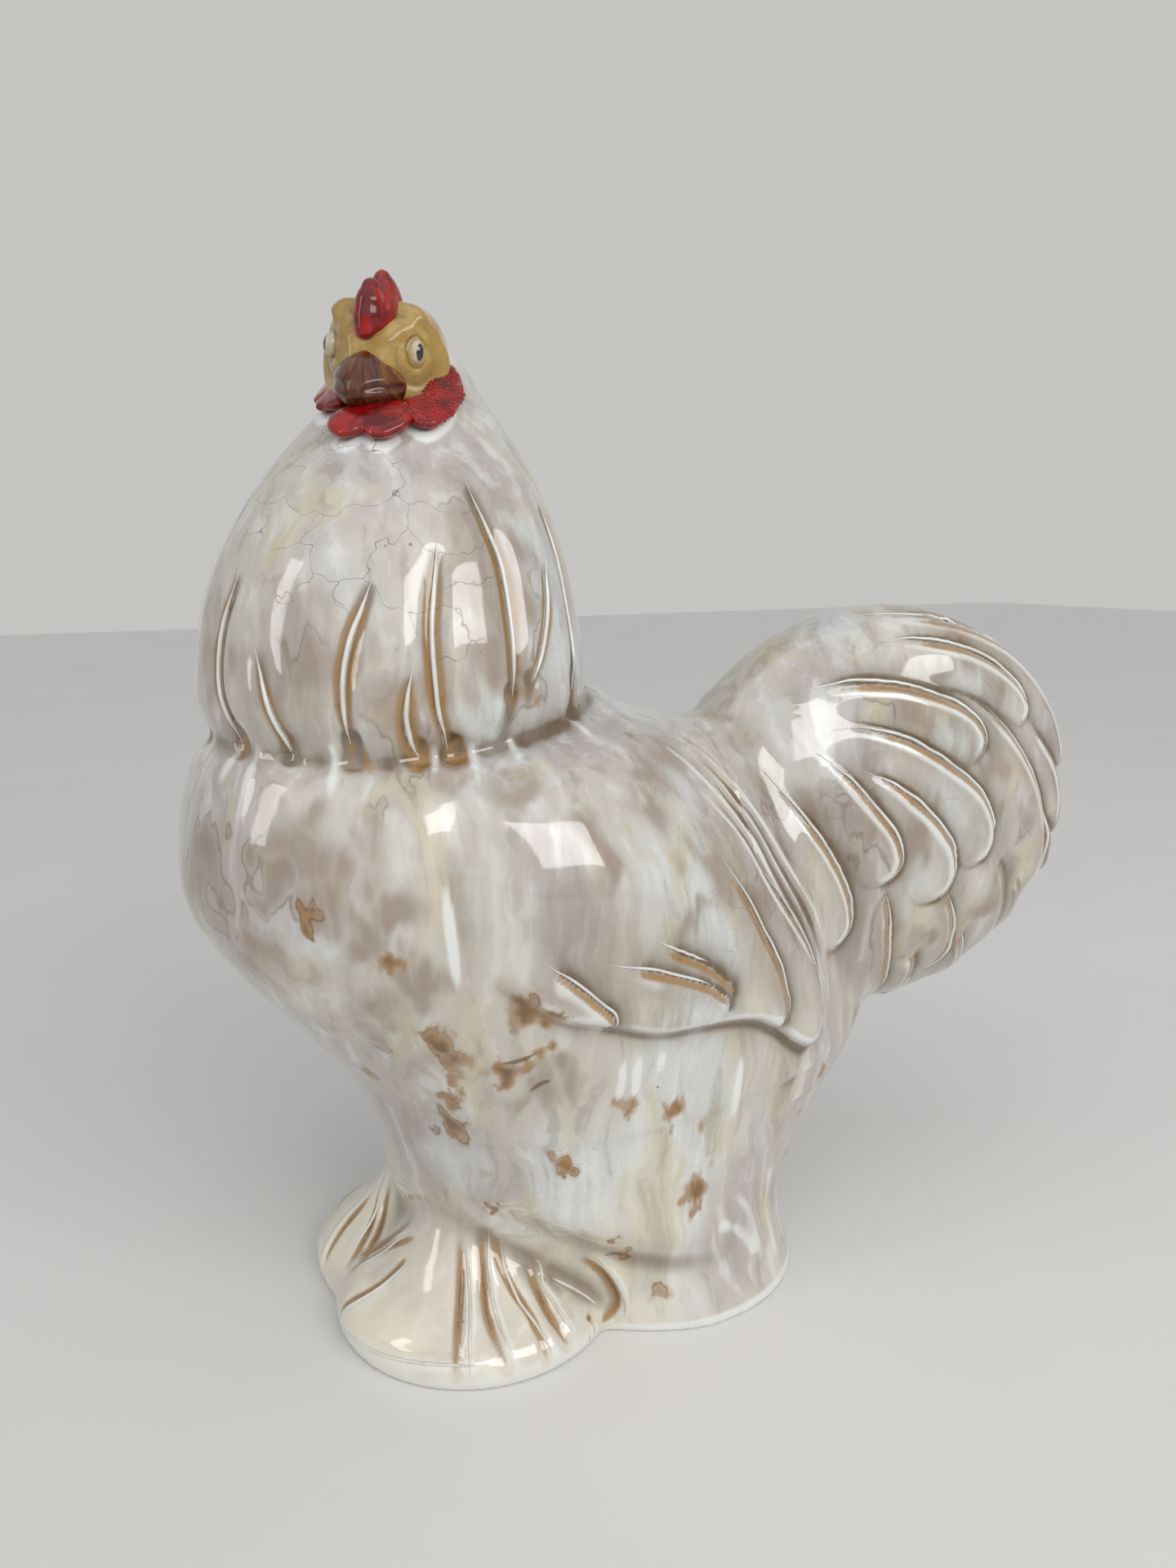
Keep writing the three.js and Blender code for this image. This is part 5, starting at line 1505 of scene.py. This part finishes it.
class ROOSTER_OT_tail(bpy.types.Operator):
    """Upright tail with its sickle feathers"""
    bl_idname = "rooster.tail"
    bl_label = "Tail"

    def execute(self, context):
        declare(cut_piece("tail", faces_of("tail")), ["tail_shell"], "pearl_glaze")
        lines = figure["edges"]["tail"]
        roll_edges("tail_edges", lines, [chosen_sizes()["edge_girth"]] * len(lines), ["tail_shell"],
                   "edge_glaze")
        return {"FINISHED"}


class ROOSTER_OT_wings(bpy.types.Operator):
    """Pressed wings with their tip feathers"""
    bl_idname = "rooster.wings"
    bl_label = "Wings"

    def execute(self, context):
        lines = figure["edges"]["wing"] if figure else model_figure(chosen_sizes())["edges"]["wing"]
        girth = 0.65 * chosen_sizes()["edge_girth"]
        for side, name in ((1, "wing_left"), (-1, "wing_right")):
            declare(cut_piece(name + "_leaf", faces_of("wing", side)), [name], "pearl_glaze")
            own = [line for line in lines if line[0][0] * side > 0]
            roll_edges(name + "_edges", own, [girth] * len(own), [name], "edge_glaze")
        return {"FINISHED"}


class ROOSTER_OT_feet(bpy.types.Operator):
    """Fans of toes"""
    bl_idname = "rooster.feet"
    bl_label = "Feet"

    def execute(self, context):
        for side, name in ((1, "foot_left"), (-1, "foot_right")):
            declare(cut_piece(name + "_fan", faces_of(name)), [name], "cream_glaze")
            own = [line for line in figure["edges"]["foot"] if line[-1][0] * side > 0]
            roll_edges(name + "_edges", own, [0.8 * chosen_sizes()["edge_girth"]] * len(own), [name],
                       "toe_edge_glaze", 0.1)
        return {"FINISHED"}


class ROOSTER_OT_head(bpy.types.Operator):
    """Head with its crown, cheeks, brows and eye rims"""
    bl_idname = "rooster.head"
    bl_label = "Head"

    def execute(self, context):
        strokes = []
        for side in (1, -1):
            strokes.append(([face_point(side * t, z) for t, z in BROW], 2.0, 2.6))
            strokes.append((ring_path(side * EYE["turn"], EYE["z"] - 1, 9.5, 12), -0.7, 3.0))
            strokes.append((ring_path(side * EYE["turn"], EYE["z"], 5.0, 6.8), -0.9, 1.3))
            strokes.append((ring_path(side * EYE["turn"], EYE["z"], 7.0, 8.8), 0.4, 1.6))
            strokes.append(([face_point(side * 3, 5.5), face_point(side * 13, 5.2), face_point(side * 24, 3.8)], 1.2, 2.4))
            strokes.append(([face_point(side * 15, 21), face_point(side * 17, 13), face_point(side * 15, 6)], 0.9, 2.0))
        strokes.append(([face_point(-27, 20), face_point(-29, 12), face_point(-26, 3)], 1.1, 1.8))
        piece = dense_piece("head", head_shape, (-34, -36, -30), (34, 34, 30), chosen_sizes()["head_cell"], True, strokes)
        declare(piece, ["head_shell"], "face_glaze")
        return {"FINISHED"}


class ROOSTER_OT_comb(bpy.types.Operator):
    """Comb of two thick lobes"""
    bl_idname = "rooster.comb"
    bl_label = "Comb"

    def execute(self, context):
        strokes = [([(8, -16, 28), (8.6, -18, 20), (7, -22, 13)], -0.5, 1.6),
                   ([(7, -10, 28), (8.6, -10, 22), (9, -12, 16)], 0.5, 1.5),
                   ([(-8, -17, 22), (-8, -21, 15), (-7, -24, 10)], -0.7, 1.5)]
        rubbed = {"rubbed": lambda p: ease(p[:, 0], 3, 9) * ease(p[:, 2], 8, 22)}
        piece = dense_piece("comb_lobes", comb_shape, (-14, -38, 0), (15, 2, 38), chosen_sizes()["head_cell"], True,
                            strokes, 1, rubbed)
        declare(piece, ["comb"], "red_glaze")
        return {"FINISHED"}


class ROOSTER_OT_beak(bpy.types.Operator):
    """Blunt beak with its mouth line"""
    bl_idname = "rooster.beak"
    bl_label = "Beak"

    def execute(self, context):
        strokes = []
        for side in (1, -1):
            strokes.append(([(side * x, y, z) for x, y, z in MOUTH], -2.2, 1.3))
            strokes.append(([(side * 6, -31, -7), (side * 6.5, -29, -4.5)], -0.8, 1.0))
        strokes.append(([(0, -26, 1), (0, -33, -4), (0, -38, -11)], 0.7, 2.4))
        paint = {"stroke_side": lambda p: 3 * np.arctan2(p[:, 0], 9 - p[:, 2]), "stroke_along": lambda p: p[:, 1] / 60,
                 "stroke_rise": lambda p: p[:, 2] / 40}
        piece = dense_piece("beak_cone", beak_shape, (-19, -44, -32), (19, -4, 8), chosen_sizes()["head_cell"], True,
                            strokes, 1, paint)
        declare(piece, ["beak"], "beak_glaze")
        return {"FINISHED"}


class ROOSTER_OT_wattles(bpy.types.Operator):
    """Chin wattle and the two side wattles on the neck"""
    bl_idname = "rooster.wattles"
    bl_label = "Wattles"

    def execute(self, context):
        sizes = chosen_sizes()
        fold = [cape_point(16, 466), cape_point(14, 459), cape_point(15, 452)]
        pieces = (("chin_wattle_pad", CHIN_WATTLE, "chin_wattle", (0, -130, 430), (64, -52, 472), ()),
                  ("wattle_left_pad", LEFT_WATTLE, "wattle_left", (20, -110, 436), (66, -28, 486), ()),
                  ("wattle_right_pad", RIGHT_WATTLE, "wattle_right", (-50, -134, 438), (34, -70, 502),
                   [(np.array(fold) + (1.5, -6, 0), -1.6, 2.2)]))
        for name, wattle, node, low, high, strokes in pieces:
            paint = {"rubbed": lambda p: 0.35 + 0 * p[:, 0]}
            if node == "wattle_left":
                paint = {"rubbed": lambda p: 0.1 + 0 * p[:, 0], "pebbled": lambda p: self.outer(p, wattle)}
            piece = dense_piece(name, wattle_shape(wattle), low, high, sizes["head_cell"], False, strokes, 1, paint)
            declare(piece, [node], "red_glaze")
            if node == "wattle_left":
                stones = bpy.data.objects.new("wattle_left_pebbles", piece.data.copy())
                stones.data.materials.clear()
                context.scene.collection.objects.link(stones)
                grow(pebble_tree("red_glaze"), stones, {"Pebble": sizes["pebble"] * MM, "Spacing": 0.0017, "Seed": 7})
                declare(stones, [node], None)
        return {"FINISHED"}

    def outer(self, points, wattle):
        """The outer face of a wattle, which carries the pebbles."""
        out, _, _, _ = neck_distance(points[:, 0], points[:, 1], points[:, 2])
        return ease(out, 0.45 * wattle[1], 0.8 * wattle[1])


class ROOSTER_OT_eyes(bpy.types.Operator):
    """Raised oval eyes with painted pupils"""
    bl_idname = "rooster.eyes"
    bl_label = "Eyes"

    def execute(self, context):
        rings, sides = 30, 64
        for side, node in ((1, "eye_left"), (-1, "eye_right")):
            turn = side * math.radians(EYE["turn"])
            reach = 28.35 - EYE["sunk"]
            across = np.array([math.cos(turn), math.sin(turn), 0.0])
            ahead = np.array([math.sin(turn), -math.cos(turn), 0.0])
            middle = ahead * reach + np.array([0, 0, EYE["z"]])
            points, pupil = [], []
            for i in range(rings + 1):
                a = math.pi * i / rings
                for k in range(sides if 0 < i < rings else 1):
                    b = 2 * math.pi * k / sides
                    u, v = math.sin(a) * math.cos(b) * EYE["across"], math.sin(a) * math.sin(b) * EYE["tall"]
                    points.append(middle + across * u + ahead * math.cos(a) * EYE["deep"] + np.array([0, 0, v]))
                    near = math.hypot((u - side * 0.5) / 1.95, v / 3.6)
                    pupil.append(near if i <= rings // 2 else 9.0)
            faces = [(0, 1 + k, 1 + (k + 1) % sides) for k in range(sides)]
            for i in range(rings - 2):
                row = 1 + i * sides
                for k in range(sides):
                    j = (k + 1) % sides
                    faces.append((row + k, row + sides + k, row + sides + j, row + j))
            last = len(points) - 1
            row = 1 + (rings - 2) * sides
            faces += [(last, row + (k + 1) % sides, row + k) for k in range(sides)]
            corners = [points[v] for v in faces[0]]
            if np.cross(corners[1] - corners[0], corners[2] - corners[0]) @ ahead < 0:
                faces = [tuple(reversed(f)) for f in faces]
            piece = new_piece(node + "_dome", to_world(np.array(points)), faces, None, {"from_pupil": pupil})
            declare(piece, [node], "eye_glaze")
        return {"FINISHED"}


class ROOSTER_OT_stage(bpy.types.Operator):
    """Pale floor, soft light and the camera"""
    bl_idname = "rooster.stage"
    bl_label = "Stage"

    def execute(self, context):
        scene = context.scene
        scene.view_settings.view_transform = "Standard"
        self.world(scene)
        self.floor(scene)
        self.camera(scene)
        sun = bpy.data.lights.new("daylight", "SUN")
        sun.energy, sun.angle = 1.05, math.radians(100)
        daylight = bpy.data.objects.new("daylight", sun)
        scene.collection.objects.link(daylight)
        daylight.rotation_euler = Vector((-1.2, 0.35, -1.3)).to_track_quat("-Z", "Y").to_euler()
        for name, place, size, power in (("window", (1.85, 0.6, 1.2), (1.7, 0.8), 20),
                                         ("side_strip", (0.2, -2.2, 1.1), (0.35, 1.5), 6)):
            data = bpy.data.lights.new(name, "AREA")
            data.shape, data.size, data.size_y, data.energy = "RECTANGLE", size[0], size[1], power
            lamp = bpy.data.objects.new(name, data)
            scene.collection.objects.link(lamp)
            lamp.location = place
            lamp.rotation_euler = (Vector((0, 0.05, 0.25)) - Vector(place)).to_track_quat("-Z", "Y").to_euler()
        return {"FINISHED"}

    def world(self, scene):
        world = bpy.data.worlds.new("studio")
        scene.world = world
        world.use_nodes = True
        n = Nodes(world.node_tree)
        light = world.node_tree.nodes["Background"]
        light.inputs[0].default_value = (0.93, 0.95, 1.0, 1)
        light.inputs[1].default_value = 0.36
        backdrop = n.add("ShaderNodeBackground", {0: (0.56, 0.555, 0.54, 1), 1: 1.0})
        rays = n.add("ShaderNodeLightPath").outputs
        seen = n.math("MAXIMUM", n.math("MAXIMUM", rays["Is Camera Ray"], rays["Is Glossy Ray"]),
                      rays["Is Transmission Ray"])
        both = n.add("ShaderNodeMixShader", {0: seen, 1: light.outputs[0], 2: backdrop.outputs[0]})
        n.put(world.node_tree.nodes["World Output"].inputs[0], both.outputs[0])

    def floor(self, scene):
        mesh = bpy.data.meshes.new("floor")
        reach = 6
        mesh.from_pydata([(-reach, -reach, 0), (reach, -reach, 0), (reach, reach, 0), (-reach, reach, 0)], [], [(0, 1, 2, 3)])
        floor = bpy.data.objects.new("floor", mesh)
        scene.collection.objects.link(floor)
        mesh.materials.append(finish("floor_paper"))

    def camera(self, scene):
        look = Vector((-0.8949, 0.3984, -0.2011)).normalized()
        level = Vector((0.4067, 0.9135, 0)).normalized()
        upright = level.cross(look).normalized()
        roll = math.radians(-0.5)
        right = level * math.cos(roll) + upright * math.sin(roll)
        up = upright * math.cos(roll) - level * math.sin(roll)
        data = bpy.data.cameras.new("camera")
        data.lens, data.sensor_width = 26.0, 36
        camera = bpy.data.objects.new("camera", data)
        scene.collection.objects.link(camera)
        camera.matrix_world = Matrix(((right.x, up.x, -look.x, 0.5499), (right.y, up.y, -look.y, -0.2229),
                                      (right.z, up.z, -look.z, 0.395), (0, 0, 0, 1)))
        scene.camera = camera


class ROOSTER_PT_pieces(bpy.types.Panel):
    """Lists the rooster's pieces, sizes and colours"""
    bl_idname = "ROOSTER_PT_pieces"
    bl_label = "Ceramic rooster"
    bl_space_type = "VIEW_3D"
    bl_region_type = "UI"
    bl_category = "Rooster"

    def draw(self, context):
        for operator in OPERATORS:
            self.layout.operator(operator.bl_idname)
        for name, _, _ in SIZES:
            self.layout.prop(context.scene.rooster_sizes, name)
        for name in PALETTE:
            self.layout.prop(context.scene.rooster_colours, name)


OPERATORS = (ROOSTER_OT_body, ROOSTER_OT_cape, ROOSTER_OT_tail, ROOSTER_OT_wings, ROOSTER_OT_feet, ROOSTER_OT_head,
             ROOSTER_OT_comb, ROOSTER_OT_beak, ROOSTER_OT_wattles, ROOSTER_OT_eyes, ROOSTER_OT_stage)
CLASSES = (RoosterColours, RoosterSizes, *OPERATORS, ROOSTER_PT_pieces)


def register():
    for cls in CLASSES:
        bpy.utils.register_class(cls)
    bpy.types.Scene.rooster_colours = bpy.props.PointerProperty(type=RoosterColours)
    bpy.types.Scene.rooster_sizes = bpy.props.PointerProperty(type=RoosterSizes)


def unregister():
    del bpy.types.Scene.rooster_sizes
    del bpy.types.Scene.rooster_colours
    for cls in reversed(CLASSES):
        bpy.utils.unregister_class(cls)


def main():
    register()
    for operator in OPERATORS:
        group, name = operator.bl_idname.split(".")
        getattr(getattr(bpy.ops, group), name)()


if __name__ == "__main__":
    main()
